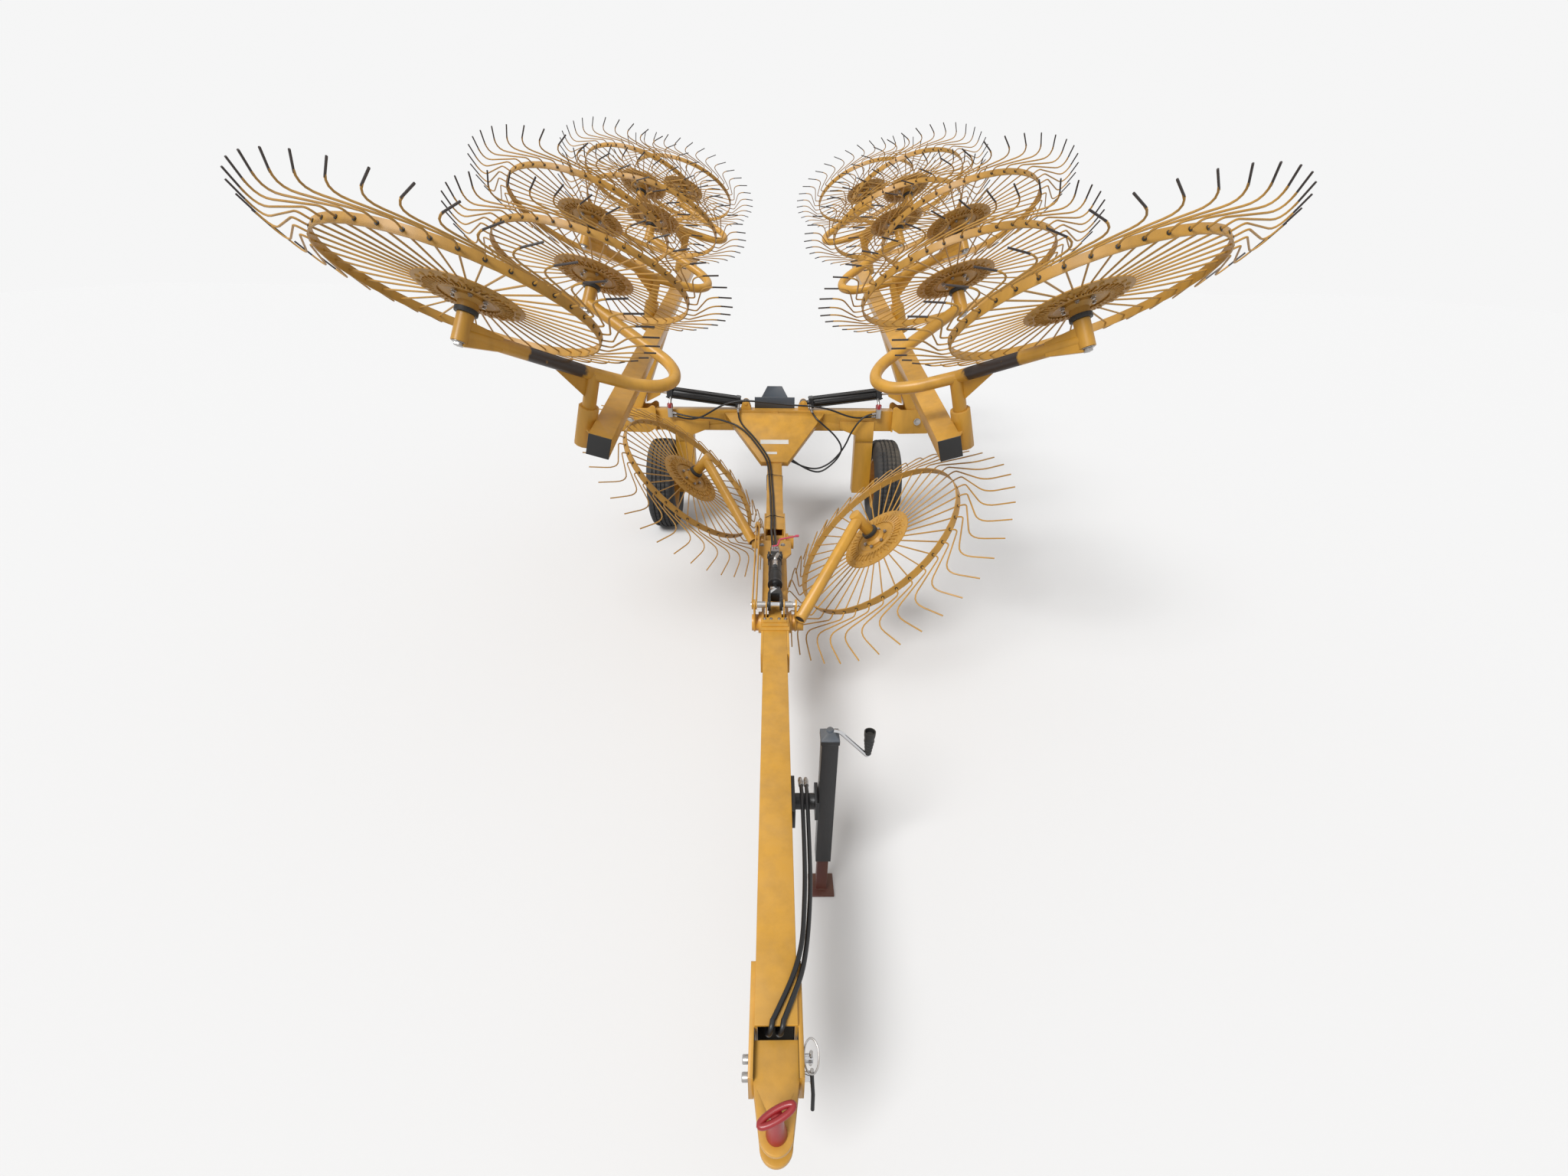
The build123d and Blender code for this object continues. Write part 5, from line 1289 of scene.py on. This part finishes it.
strap = [(LYNCH_X + x, behind(distance), TONGUE_MIDDLE + up) for x, distance, up in STRAP_ROUTE]
keepers.add(swept(strap, STRAP_R, 10), "black_paint")
keepers.piece("hitch_keepers", "main", rounding=0.0004)
print("keeper faces", len(keepers.faces))

# %% [markdown]
# The hoses come out of the drawbar's open mouth, so short bends lead from inside it over
# its upper edge. A black plate a little way in is painted shade: it closes the view into the
# long tube, which is cheaper than modelling an inside that nobody can see.

# %% Mouth of the drawbar
MOUTH_AT = 0.195
SHADE_PLATE_DEEP = 0.100
SHADE_PLATE_LEVELS = (-0.093, -0.009)
SHADE_PLATE_HALVES = (0.0425, 0.042)
SHADE_PLATE_T = 0.004
BEND_CURVES = [0.006, 0.007, 0.010, 0.012]

mouth = Pile("black_plastic", "hose_rubber")
# A black plate a little way in is painted shade that closes the view into the tube.
shade_plate_low, shade_plate_high = [on_frame(0, MOUTH_AT + SHADE_PLATE_DEEP, level) for level in SHADE_PLATE_LEVELS]
shade_plate_place = axis_place((shade_plate_low + shade_plate_high) / 2, (0, -1, 0))
mouth.add(cut_plate(rectangle(*SHADE_PLATE_HALVES), SHADE_PLATE_T), "black_plastic", shade_plate_place)
for start_x, end_x in ((-0.008, -0.020), (0.018, 0.004)):
    bend = [  # X, behind, above the frame's top
        (start_x, 0.201, 0.0085), (start_x - 0.003, 0.186, 0.0060), (start_x - 0.007, 0.178, -0.008),
        (end_x, 0.186, -0.030), (end_x, 0.215, -0.046), (end_x, 0.285, -0.052),
    ]
    line = rounded([on_frame(*corner) for corner in bend], BEND_CURVES, 5)
    mouth.add(swept(line, HOSE_R, 14), "hose_rubber")
mouth.piece("drawbar_mouth_hoses_and_shade_plate", "main", slot=slot_of["hose_drawbar_inner"])
print("mouth faces", len(mouth.faces))

# %% [markdown]
# The parking jack has a side winder: a plated rod slopes down from its head and turns up
# into a ribbed black grip that flares at the top. The head has a low grey pyramid. The
# ribs are five steps of one profile, made by a loop, because they show in its outline.

# %% Jack crank
GRIP_OUT = 0.122
GRIP_LOW = 0.076
CRANK_ROD_R = 0.0065
RIBS = 5
RIB_STEP = 0.0125
RIB_DEPTH = 0.0012
PYRAMID_PROFILE = [(0.0405, 0), (0.0405, 0.003), (0.013, 0.021), (CORE, 0.0215)]
KNOB_PROFILE = [(CORE, 0.008), (0.012, 0.008), (0.012, 0.024), (0.009, 0.028), (CORE, 0.028)]
FLARE_PROFILE = [
    (0.0155, 0.066), (0.0175, 0.078), (0.0178, 0.092), (0.0145, 0.092), (0.0125, 0.080), (CORE, 0.078)
]

jack_low, jack_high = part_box("jack_tube")
jack_top = Vector(((jack_low.x + jack_high.x) / 2, (jack_low.y + jack_high.y) / 2, jack_high.z))
head_place = Matrix.Translation(jack_top)
crank = Pile("rod_chrome", "slate", "black_plastic")
crank.add(turned(PYRAMID_PROFILE, 4), "slate", head_place @ Matrix.Rotation(math.radians(45), 4, "Z"))
crank_line = [
    jack_top + Vector(offset)
    for offset in ((0.004, 0, 0.019), (0.030, 0, 0.016), (GRIP_OUT, 0, -0.084), (GRIP_OUT, 0, -0.010))
]
crank.add(swept(rounded(crank_line, [0.012, 0.010], 8), CRANK_ROD_R, 16), "rod_chrome")
crank.add(turned(KNOB_PROFILE, 20), "slate", head_place)
grip = [(CORE, 0.0)]
for rib in range(RIBS):
    radius = 0.0100 + rib * 0.0015
    low = rib * RIB_STEP
    grip += [
        (radius - RIB_DEPTH, 0.001 + low), (radius, 0.003 + low),
        (radius, 0.009 + low), (radius - RIB_DEPTH, 0.011 + low),
    ]
grip_at = Matrix.Translation(jack_top + Vector((GRIP_OUT, 0, -GRIP_LOW)))
crank.add(turned(grip + FLARE_PROFILE, 28), "black_plastic", grip_at)
crank_piece = crank.piece("jack_side_winder", "main", slot=slot_of["jack_crank"])
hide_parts("jack_crank")
print("crank faces", len(crank.faces))

# %% [markdown]
# A ball valve on the deck shuts the lift cylinder off. It is a plated block with two
# hexagon ends and a long red lever with a step in it. The block is one cut plate with its
# corners taken off, because its section stays the same from end to end.

# %% Shut-off valve
VALVE_AT = 2.368
VALVE_UP = 0.0325
BLOCK_LONG = 0.044
BLOCK_OUTLINE = [
    (-0.024, -0.016), (-0.018, -0.022), (0.018, -0.022), (0.024, -0.016),
    (0.024, 0.015), (0.017, 0.0215), (-0.017, 0.0215), (-0.024, 0.015),
]
HEX_R = 0.017
HEX_ENDS = ((-0.032, 0.012), (0.022, 0.010))  # start and length along the block
STEM_BACK = 0.010
STEM_UP = 0.054
LEVER_R = 0.0045
LEVER_END_R = 0.0065
LEVER_END_HALF = 0.009
STEM_PROFILE = [(0.008, 0), (0.008, 0.008), (0.005, 0.010), (CORE, 0.010)]
LEVER_ROUTE = [(-0.012, 0.008, 0.064), (0.014, 0.016, 0.064), (0.026, 0.054, 0.080), (0.118, 0.086, 0.084)]

valve = Pile("zinc", "faded_red")
forward = Vector((0, -math.cos(FRAME_SLOPE), -math.sin(FRAME_SLOPE)))
valve_place = axis_place(on_frame(0, VALVE_AT, VALVE_UP), forward)
block_place = valve_place @ Matrix.Translation((0, 0, -BLOCK_LONG / 2))
valve.add(cut_plate(BLOCK_OUTLINE, BLOCK_LONG), "zinc", block_place)
for shift, depth in HEX_ENDS:
    valve.add(stub(HEX_R, 0, depth, 6), "zinc", valve_place @ Matrix.Translation((0, 0, shift)))
stem_place = axis_place(on_frame(0, VALVE_AT + STEM_BACK, STEM_UP), (0, 0, 1))
valve.add(turned(STEM_PROFILE, 18), "zinc", stem_place)
lever = [on_frame(x, VALVE_AT + back, above) for x, back, above in LEVER_ROUTE]
valve.add(swept(rounded(lever, [0.008, 0.008], 5), LEVER_R, 12), "faded_red")
lever_end = stub(LEVER_END_R, -LEVER_END_HALF, LEVER_END_HALF, 14)
valve.add(lever_end, "faded_red", axis_place(lever[-1], (1, 0.2, 0)))
valve_piece = valve.piece("shut_off_ball_valve", "main", rounding=0.0006, slot=slot_of["shut_off_valve"])
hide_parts("shut_off_valve")
print("valve faces", len(valve.faces))

# %% [markdown]
# The lift cylinder is short and black. Its gland and two clamps are rings round the
# barrel, and a plated elbow and a short steel pipe bring the oil to it. They ride on the
# barrel, because it tilts as the rockers move.

# %% Lift cylinder fittings
LIFT_R = 0.032
RING_SUNK = 0.98
LIFT_RINGS = (  # start, length, radius
    (0.272, 0.014, 0.0348), (0.060, 0.010, 0.0342), (0.180, 0.006, 0.0332)
)
PORT_FROM_BASE = 0.125
ELBOW_FROM = 0.012
ELBOW_UP = 0.026
ELBOW_BACK = 0.045
ELBOW_ASIDE = 0.016
ELBOW_R = 0.0085
SHORT_PIPE = (0.012, 0.050)
SHORT_PIPE_UP = 0.010
SHORT_PIPE_R = 0.0125
BOSS_PROFILE = [(CORE, -0.002), (0.0125, -0.002), (0.0125, 0.012), (0.0095, 0.014), (CORE, 0.014)]

fittings = Pile("zinc", "black_paint", "rod_chrome")
lift_up = Vector((1, 0, 0)).cross(lift_dir).normalized()
if lift_up.z < 0:
    lift_up = -lift_up
for start, reach, radius in LIFT_RINGS:
    ring_place = axis_place(lift_base + lift_dir * start, lift_dir)
    fittings.add(collar(LIFT_R * RING_SUNK, radius, 0, reach), "black_paint", ring_place)
port = lift_base + lift_dir * PORT_FROM_BASE + lift_up * LIFT_R
fittings.add(turned(BOSS_PROFILE, 20), "zinc", axis_place(port, lift_up))
elbow_top = port + lift_up * ELBOW_UP
elbow_end = elbow_top - lift_dir * ELBOW_BACK + Vector((ELBOW_ASIDE, 0, 0))
elbow = rounded([port + lift_up * ELBOW_FROM, elbow_top, elbow_end], [0.012], 6)
fittings.add(swept(elbow, ELBOW_R, 16), "zinc")
short_pipe = [port + lift_dir * along + lift_up * SHORT_PIPE_UP for along in SHORT_PIPE]
fittings.add(swept(short_pipe, SHORT_PIPE_R, 20), "rod_chrome")
fittings.piece("lift_cylinder_fittings", "lift_barrel", rounding=0.0005)
print("lift fittings", len(fittings.faces))

# %% [markdown]
# The pin of the front rocker's lever reaches out on both sides, with a plated sleeve round
# each end. They move with the rocker and not with the cylinder, so they are a piece of
# their own that rides on it.

# %% Sleeves on the lever's pin
SLEEVE_BORE_R = 0.0118
SLEEVE_R = 0.0145
SLEEVE_ENDS = ((-0.080, -0.036), (0.036, 0.080))
sleeves = Pile("zinc")
for start, end in SLEEVE_ENDS:
    sleeve = collar(SLEEVE_BORE_R, SLEEVE_R, start, end)
    sleeves.add(sleeve, "zinc", axis_place(link_middle, (1, 0, 0)))
sleeves.piece("lever_pin_sleeves", "rocker_front", rounding=0.0006)
print("sleeve faces", len(sleeves.faces))

# %% [markdown]
# The arms of the centre wheels are plain tubes, cut off square and left open at their
# lower ends. The imported tube is solid there, so a thin ring stands on its end with a black
# disc of painted shade in it, which shows the open tube without a cut.

# %% Open ends of the centre arms
CENTRE_ARM_R = 0.028
CENTRE_BORE_R = 0.0225
RING_LOW = -0.002
RING_HIGH = 0.006
ARM_FAR = Vector((0.4136, 0.4267, 0.3404))
ARM_FEET = (("front", 1, (0.113, -0.065, 0.061)), ("rear", -1, (0.124, -0.030, 0.020)))
BORE_SHADE_PROFILE = [(CENTRE_BORE_R, 0.0002), (CENTRE_BORE_R, 0.001), (CORE, 0.001)]

for place_name, mirror_x, foot in ARM_FEET:
    axle = Vector(joints[f"rocker_{place_name}_lift"]["pos_m"])
    foot = Vector(foot)
    down = (foot - ARM_FAR).normalized()
    start = Vector((mirror_x * foot.x, axle.y + foot.y, axle.z + foot.z))
    place = axis_place(start, (mirror_x * down.x, down.y, down.z))
    mouth_ring = Pile("yellow_paint", "black_plastic")
    end_ring = collar(CENTRE_BORE_R, CENTRE_ARM_R, RING_LOW, RING_HIGH)
    mouth_ring.add(end_ring, "yellow_paint", place)
    # The black disc is painted shade inside the open tube.
    mouth_ring.add(turned(BORE_SHADE_PROFILE), "black_plastic", place)
    mouth_ring.piece(f"centre_arm_mouth_{place_name}", f"rocker_{place_name}")
    print("open end", place_name, [round(value, 3) for value in start])

# %% [markdown]
# A stepped cover closes the drawbar's rear end in front of the lift linkage. Small bolts
# in a row hold it, and its tongue reaches back under the pin of the linkage. Layers of
# thin plate give the steps their real edges, which a single bent sheet would round off.

# %% Cover at the linkage
COVER_T = 0.0055
COVER_LAYERS = [  # half the width, front and rear behind the hitch pin, above the frame
    (0.0640, 1.722, 1.801, 0.0), (0.0580, 1.744, 1.801, 0.0055), (0.0520, 1.766, 1.801, 0.0110),
    (0.0300, 1.798, 1.925, -0.0020),
]
COVER_BOLTS_X = (-0.046, -0.018, 0.018, 0.046)
COVER_BOLTS_AT = 1.790
COVER_BOLTS_UP = 0.0165
COVER_BOLT = (0.0055, 0.005)
frame_up = (0, -math.sin(FRAME_SLOPE), math.cos(FRAME_SLOPE))

cover = Pile("yellow_paint", "zinc")
for half_wide, front_at, rear_at, above in COVER_LAYERS:
    layer = cut_plate(rectangle(half_wide, (rear_at - front_at) / 2), COVER_T)
    cover.add(layer, "yellow_paint", axis_place(on_frame(0, (front_at + rear_at) / 2, above), frame_up))
for x in COVER_BOLTS_X:
    bolt_place = axis_place(on_frame(x, COVER_BOLTS_AT, COVER_BOLTS_UP), (0, 0, 1))
    cover.add(hex_bolt(*COVER_BOLT), "zinc", bolt_place)
cover.piece("linkage_cover", "main", rounding=0.001)
print("cover faces", len(cover.faces))

# %% [markdown]
# The long fold cylinders are held together by four tie rods between two square heads.
# A thin steel pipe in front takes the oil to the far end. The right one is worked out
# along its own direction, and the same parts are mirrored for the left.

# %% Fold cylinder trim
FOLD_R = 0.035
FOLD_DIR = Vector((0.655, 0, 0.085)).normalized()
PIPE_R = 0.005
PIPE_GAP = 0.002
PIPE_FROM = 0.085
PIPE_TO = 0.520
PIPE_SUNK = 0.9
TIE_ROD_R = 0.005
TIE_ROD_OFF = 0.031
TIE_ROD_FROM = 0.040
TIE_ROD_TO = 0.590
HEADS = ((0.046, 0.028), (0.545, 0.034))  # start and length along the barrel
HEAD_HALF = 0.040
HEAD_FLAT = 0.033
PORT_X = 0.772
PORT_AT = 4.100
PORT_LOW = 0.947
PORT_PROFILE = [(CORE, 0), (0.014, 0), (0.022, 0.006), (0.022, 0.030), (0.016, 0.038), (CORE, 0.039)]
front = Vector((0, -1, 0))
fold_base = Vector(joints["fold_barrel_right_tilt"]["pos_m"])

square_head = [
    (-HEAD_HALF, -HEAD_FLAT), (-HEAD_FLAT, -HEAD_HALF), (HEAD_FLAT, -HEAD_HALF), (HEAD_HALF, -HEAD_FLAT),
    (HEAD_HALF, HEAD_FLAT), (HEAD_FLAT, HEAD_HALF), (-HEAD_FLAT, HEAD_HALF), (-HEAD_HALF, HEAD_FLAT),
]
pipe_off = front * (FOLD_R + PIPE_R + PIPE_GAP)
pipe_from = fold_base + FOLD_DIR * PIPE_FROM
pipe_to = fold_base + FOLD_DIR * PIPE_TO
pipe_root = front * FOLD_R * PIPE_SUNK
oil_pipe = [pipe_from + pipe_root, pipe_from + pipe_off, pipe_to + pipe_off, pipe_to + pipe_root]
for side, mirror_place in (("right", Matrix.Identity(4)), ("left", MIRROR_X)):
    trim = Pile("black_paint", "red_lever")
    port_place = mirror_place @ Matrix.Translation((PORT_X, behind(PORT_AT), PORT_LOW))
    trim.add(turned(PORT_PROFILE, 12), "red_lever", port_place)
    for start, reach in HEADS:
        place = mirror_place @ axis_place(fold_base + FOLD_DIR * start, FOLD_DIR, front)
        trim.add(cut_plate(square_head, reach), "black_paint", place)
    for across, up in ((-1, -1), (-1, 1), (1, -1), (1, 1)):
        offset = front * across * TIE_ROD_OFF + FOLD_DIR.cross(front) * up * TIE_ROD_OFF
        rod = [fold_base + FOLD_DIR * along + offset for along in (TIE_ROD_FROM, TIE_ROD_TO)]
        trim.add(swept(rod, TIE_ROD_R, 10), "black_paint", mirror_place)
    trim.add(swept(rounded(oil_pipe, [0.007, 0.007], 5), PIPE_R, 12), "black_paint", mirror_place)
    trim.piece(f"fold_cylinder_trim_{side}", f"fold_barrel_{side}")
print("fold cylinder trim", len(trim.faces), "faces each")

# %% [markdown]
# Small parts on the fixed frame go into one piece. First the fold pins' heads and blank
# plates on the end brackets, two bolts on the deck, and the holes and the bolt of the
# post. A hole that is never looked through is a thin black disc of painted shade.

# %% Bolts and plates of the frame
CROSS_AT = 4.125
BRACKET_FRONT = behind(4.088)
POST_FACE = behind(4.113)
POST_HOLES = (0.896, 0.866, 0.836)
POST_BOLT_UP = 0.808
DECK_BOLTS = ((-0.083, 2.487), (0.050, 2.488))
DECK_INWARD = 0.86
PLATE_T = 0.0008
PLATE_PROUD = 0.0015
HOLE_SHADE_DISC_T = 0.0006
BRACKET_PLATES = ((1.132, 0.014, "white_plate"), (1.185, 0.012, "slate"))  # x, half width, finish
BRACKET_PLATE_HALF = 0.020
PIVOT_BOLT = (0.019, 0.016)
PIVOT_BOLT_OUT = 0.010
DECK_BOLT = (0.010, 0.008)
DECK_BOLT_UP = 0.010
POST_BOLT = (0.009, 0.008)
POST_HOLE_R = 0.0085
fold_pivot = Vector(joints["boom_right_fold"]["pos_m"])
bracket_rear = 2 * fold_pivot.y - BRACKET_FRONT

hardware = Pile("zinc", "black_plastic", "white_plate", "slate")
for outward in (-1, 1):
    head = (outward * fold_pivot.x, BRACKET_FRONT - PIVOT_BOLT_OUT, fold_pivot.z)
    hardware.add(hex_bolt(*PIVOT_BOLT), "zinc", axis_place(head, (0, -1, 0)))
    tail = (outward * fold_pivot.x, bracket_rear + PIVOT_BOLT_OUT, fold_pivot.z)
    hardware.add(hex_bolt(*PIVOT_BOLT), "zinc", axis_place(tail, (0, 1, 0)))
    for x, half, finish in BRACKET_PLATES:
        place = axis_place((outward * x, BRACKET_FRONT - PLATE_PROUD, fold_pivot.z), (0, -1, 0))
        hardware.add(cut_plate(rectangle(half, BRACKET_PLATE_HALF), PLATE_T), finish, place)
for x, distance in DECK_BOLTS:
    bolt_place = axis_place(on_frame(x * DECK_INWARD, distance, DECK_BOLT_UP), (0, -0.06, 1))
    hardware.add(hex_bolt(*DECK_BOLT), "zinc", bolt_place)
# Each hole of the post is a black disc: painted shade in the hole.
for height in POST_HOLES:
    hole_place = axis_place((0, POST_FACE, height), (0, -1, 0))
    hardware.add(stub(POST_HOLE_R, 0, HOLE_SHADE_DISC_T), "black_plastic", hole_place)
hardware.add(hex_bolt(*POST_BOLT), "zinc", axis_place((0, POST_FACE, POST_BOLT_UP), (0, -1, 0)))
print("bolts and plates", len(hardware.faces))

# %% [markdown]
# The gusset is a sloping plate in front of the cross-beam, with two blank white plates on
# it. Their places are found along the slope, so that they lie flat on it. Set by height
# and distance apart from each other, they would cut into it or stand off.

# %% Blank plates on the gusset
GUSSET_RUN = 0.405
GUSSET_TOP = 0.930 - 0.025
GUSSET_HALF_T = 0.010
GUSSET_PLATES = (  # x, behind the hitch pin, half length, half height
    (-0.001, 3.880, 0.102, 0.020), (-0.024, 3.790, 0.041, 0.011)
)
gusset_at = CROSS_AT - GUSSET_RUN
gusset_foot = Vector((0, behind(CROSS_AT) - GUSSET_RUN, frame_top(gusset_at)))
gusset_rise = GUSSET_TOP - gusset_foot.z
gusset_up = Vector((0, GUSSET_RUN, gusset_rise)).normalized()
gusset_out = Vector((0, -gusset_rise, GUSSET_RUN)).normalized()

for middle_x, distance, half_long, half_high in GUSSET_PLATES:
    reach = (distance - gusset_at) / gusset_up.y
    middle = gusset_foot + gusset_up * reach + gusset_out * GUSSET_HALF_T + Vector((middle_x, 0, 0))
    plate = cut_plate(rectangle(half_long, half_high), PLATE_T)
    hardware.add(plate, "white_plate", axis_place(middle, gusset_out))
print("gusset rises", round(gusset_rise, 3), "m")

# %% [markdown]
# Two black ties hold the hoses down on the rear tube. Each is a thin loop that follows
# the tube's sides, rises over the hoses and closes under the tube.

# %% Hose ties
TIE_R = 0.0022
TUBE_HALF = 0.051
TUBE_DEEP = 0.102
TIES = ((3.474, -0.029), (2.844, -0.011))  # behind the hitch pin, middle of the hoses
HOSES_HALF = 0.012
HOSES_TOP = 0.0155
SHOULDER_OUT = 0.022
SHOULDER_UP = 0.010
TUBE_EDGE = 0.002
tie_side = TUBE_HALF + TIE_R
for distance, hose_x in TIES:
    tie = [
        (-tie_side, -TUBE_DEEP - TIE_R), (-tie_side, TUBE_EDGE),
        (hose_x - SHOULDER_OUT, SHOULDER_UP), (hose_x - HOSES_HALF, HOSES_TOP),
        (hose_x + HOSES_HALF, HOSES_TOP), (hose_x + SHOULDER_OUT, SHOULDER_UP),
        (tie_side, TUBE_EDGE), (tie_side, -TUBE_DEEP - TIE_R),
    ]
    path = [on_frame(x, distance, above) for x, above in tie]
    hardware.add(swept(path + [path[0]], TIE_R, 8), "black_plastic")
hardware.piece("frame_hardware", "main", rounding=0.0004)
print("hardware faces", len(hardware.faces))

# %% [markdown]
# A road wheel's rim is held by five nuts round a grease cap. They hardly show from the
# front, but they finish the wheel from the side. They turn with the wheel, like the
# little black valve of the tyre.

# %% Road wheel nuts
NUTS = 5
WHEEL_NUT = (0.010, 0.014)
NUT_RING = 0.054
HUB_FACE = 0.892
VALVE_RING = 0.150
VALVE_SUNK = 0.012
CAP_PROFILE = [(0.036, 0), (0.036, 0.016), (0.033, 0.022), (0.022, 0.026), (CORE, 0.027)]
VALVE_PROFILE = [(0.004, 0), (0.004, 0.030), (CORE, 0.031)]

for side, outward in (("right", 1), ("left", -1)):
    centre = Vector(joints[f"road_wheel_{side}_spin"]["pos_m"])
    face_at = Vector((outward * HUB_FACE, centre.y, centre.z))
    place = axis_place(face_at, (outward, 0, 0), (0, 0, 1))
    nuts = Pile("zinc", "black_plastic")
    for index in range(NUTS):
        turn = Matrix.Rotation(2 * math.pi * index / NUTS, 4, "Z")
        nuts.add(hex_bolt(*WHEEL_NUT), "zinc", place @ turn @ Matrix.Translation((NUT_RING, 0, 0)))
    nuts.add(turned(CAP_PROFILE, 28), "zinc", place)
    valve_at = place @ Matrix.Translation((VALVE_RING, 0, -VALVE_SUNK))
    nuts.add(turned(VALVE_PROFILE, 10), "black_plastic", valve_at)
    nuts.piece(f"road_wheel_nuts_{side}", f"road_wheel_{side}", rounding=0.0005)
print("nut faces", len(nuts.faces))

# %% [markdown]
# The road tyre is turned from a profile with five ribs. The grooves between them are cut
# into the profile, and rows of narrow slits across the ribs are real notches too, because
# they show in the outline where a bump would leave it smooth.

# %% Road tyres
TYRE_WIDTH = 0.205
TYRE_RADIUS = 0.345
RIM_SEAT = 0.198
CROWN_DROP = 0.004
CROWN_AT = 0.06
GROOVES = (-0.046, -0.016, 0.016, 0.046)
GROOVE_HALF = 0.0045
GROOVE_DEPTH = 0.011
TREAD_STEPS = 180
NOTCH_EVERY = 3
NOTCH_DEPTH = 0.005
NOTCHED_RIM = 0.006


def tyre_profile():
    """(radius, side) points of the tyre from one bead to the other."""
    half = TYRE_WIDTH / 2
    left = [
        (RIM_SEAT, -half + 0.024), (RIM_SEAT + 0.010, -half + 0.014),
        (RIM_SEAT + 0.035, -half + 0.003), (RIM_SEAT + 0.070, -half),
        (TYRE_RADIUS - 0.045, -half + 0.003), (TYRE_RADIUS - 0.022, -half + 0.013),
        (TYRE_RADIUS - 0.010, -half + 0.024), (TYRE_RADIUS - 0.004, -half + 0.036),
    ]
    tread = []
    for groove in GROOVES:
        crown = TYRE_RADIUS - CROWN_DROP * (abs(groove) / CROWN_AT) ** 2
        tread += [
            (crown, groove - GROOVE_HALF - 0.001), (crown - GROOVE_DEPTH, groove - GROOVE_HALF + 0.002),
            (crown - GROOVE_DEPTH, groove + GROOVE_HALF - 0.002), (crown, groove + GROOVE_HALF + 0.001),
        ]
    right = [(radius, -side) for radius, side in reversed(left)]
    return left + tread + right


def road_tyre(side_name):
    """Tyre piece with notched ribs."""
    low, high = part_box(f"tyre_{side_name}")
    centre = (low + high) / 2
    profile = tyre_profile()
    points = []
    for radius, across in profile:
        on_tread = radius > TYRE_RADIUS - NOTCHED_RIM
        for step in range(TREAD_STEPS):
            angle = 2 * math.pi * step / TREAD_STEPS
            notch = NOTCH_DEPTH if on_tread and step % NOTCH_EVERY == 0 else 0.0
            reach = radius - notch
            points.append((across, reach * math.cos(angle), reach * math.sin(angle)))
    faces = ring_faces(len(profile), TREAD_STEPS, closed=True)
    tyre = Pile("tyre")
    tyre.add((points, faces), "tyre", Matrix.Translation(centre))
    piece = tyre.piece(f"tyre_{side_name}_ribbed", f"road_wheel_{side_name}")
    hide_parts(f"tyre_{side_name}")
    return len(faces)


for side_name in ("left", "right"):
    print("tyre faces", side_name, road_tyre(side_name))

# %% [markdown]
# The floor is a wide pale plane that takes the machine's shadow. It looks white to the
# camera and in reflections, but gives back less light than it shows, so that the paint
# keeps its own colour. Light Path tells the two kinds of ray apart.

# %% Floor
FLOOR_SIZE = 60.0
FLOOR_TONE = 0.80
FLOOR_BOUNCE = 0.42


def seen_rays(tree):
    """1 for camera, glossy and transmission rays, 0 for light that bounces."""
    rays = tree.nodes.new("ShaderNodeLightPath")
    seen = math_node(tree, "MAXIMUM", rays.outputs["Is Camera Ray"], rays.outputs["Is Glossy Ray"])
    return math_node(tree, "MAXIMUM", seen, rays.outputs["Is Transmission Ray"])


floor_mesh = bpy.data.meshes.new("floor")
floor_outline = rectangle(FLOOR_SIZE / 2, FLOOR_SIZE / 2)
floor_mesh.from_pydata([(x, y, 0) for x, y in floor_outline], [], [(0, 1, 2, 3)])
floor = bpy.data.objects.new("floor", floor_mesh)
bpy.context.scene.collection.objects.link(floor)
floor_paint = bpy.data.materials.new("floor")
floor_paint.use_nodes = True
floor_tree = floor_paint.node_tree
floor_shader = floor_tree.nodes["Principled BSDF"]
floor_color = mix_color(floor_tree, seen_rays(floor_tree), (*[FLOOR_BOUNCE] * 3, 1), (*[FLOOR_TONE] * 3, 1))
floor_tree.links.new(floor_color, floor_shader.inputs["Base Color"])
floor_shader.inputs["Roughness"].default_value = 0.9
floor_shader.inputs["Specular IOR Level"].default_value = 0.1
floor_mesh.materials.append(floor_paint)
print("floor", FLOOR_SIZE, "m wide")

# %% [markdown]
# The light is a bright sky with a broad soft sun from the front left, whose shadows have
# soft edges. The sky shows almost white, but lights the machine less than it shows,
# because a colour should render about as it is written.

# %% Sky and sun
SKY_SEEN = 0.92
SKY_LIGHT = 0.50
SUN_STRENGTH = 2.75
SUN_SOFTNESS = 25.0
SUN_TURN = (32, -28, 0)

sky = bpy.data.worlds.new("sky")
bpy.context.scene.world = sky
sky.use_nodes = True
background = sky.node_tree.nodes["Background"]
background.inputs["Color"].default_value = (1, 1, 1, 1)
strength = math_node(sky.node_tree, "MULTIPLY", seen_rays(sky.node_tree), SKY_SEEN - SKY_LIGHT)
strength = math_node(sky.node_tree, "ADD", strength, SKY_LIGHT)
sky.node_tree.links.new(strength, background.inputs["Strength"])

sun_data = bpy.data.lights.new("sun", "SUN")
sun_data.energy = SUN_STRENGTH
sun_data.angle = math.radians(SUN_SOFTNESS)
sun = bpy.data.objects.new("sun", sun_data)
bpy.context.scene.collection.objects.link(sun)
sun.rotation_euler = [math.radians(turn) for turn in SUN_TURN]
bpy.context.scene.view_settings.view_transform = "Standard"
print("sun", SUN_STRENGTH, "sky", SKY_LIGHT)
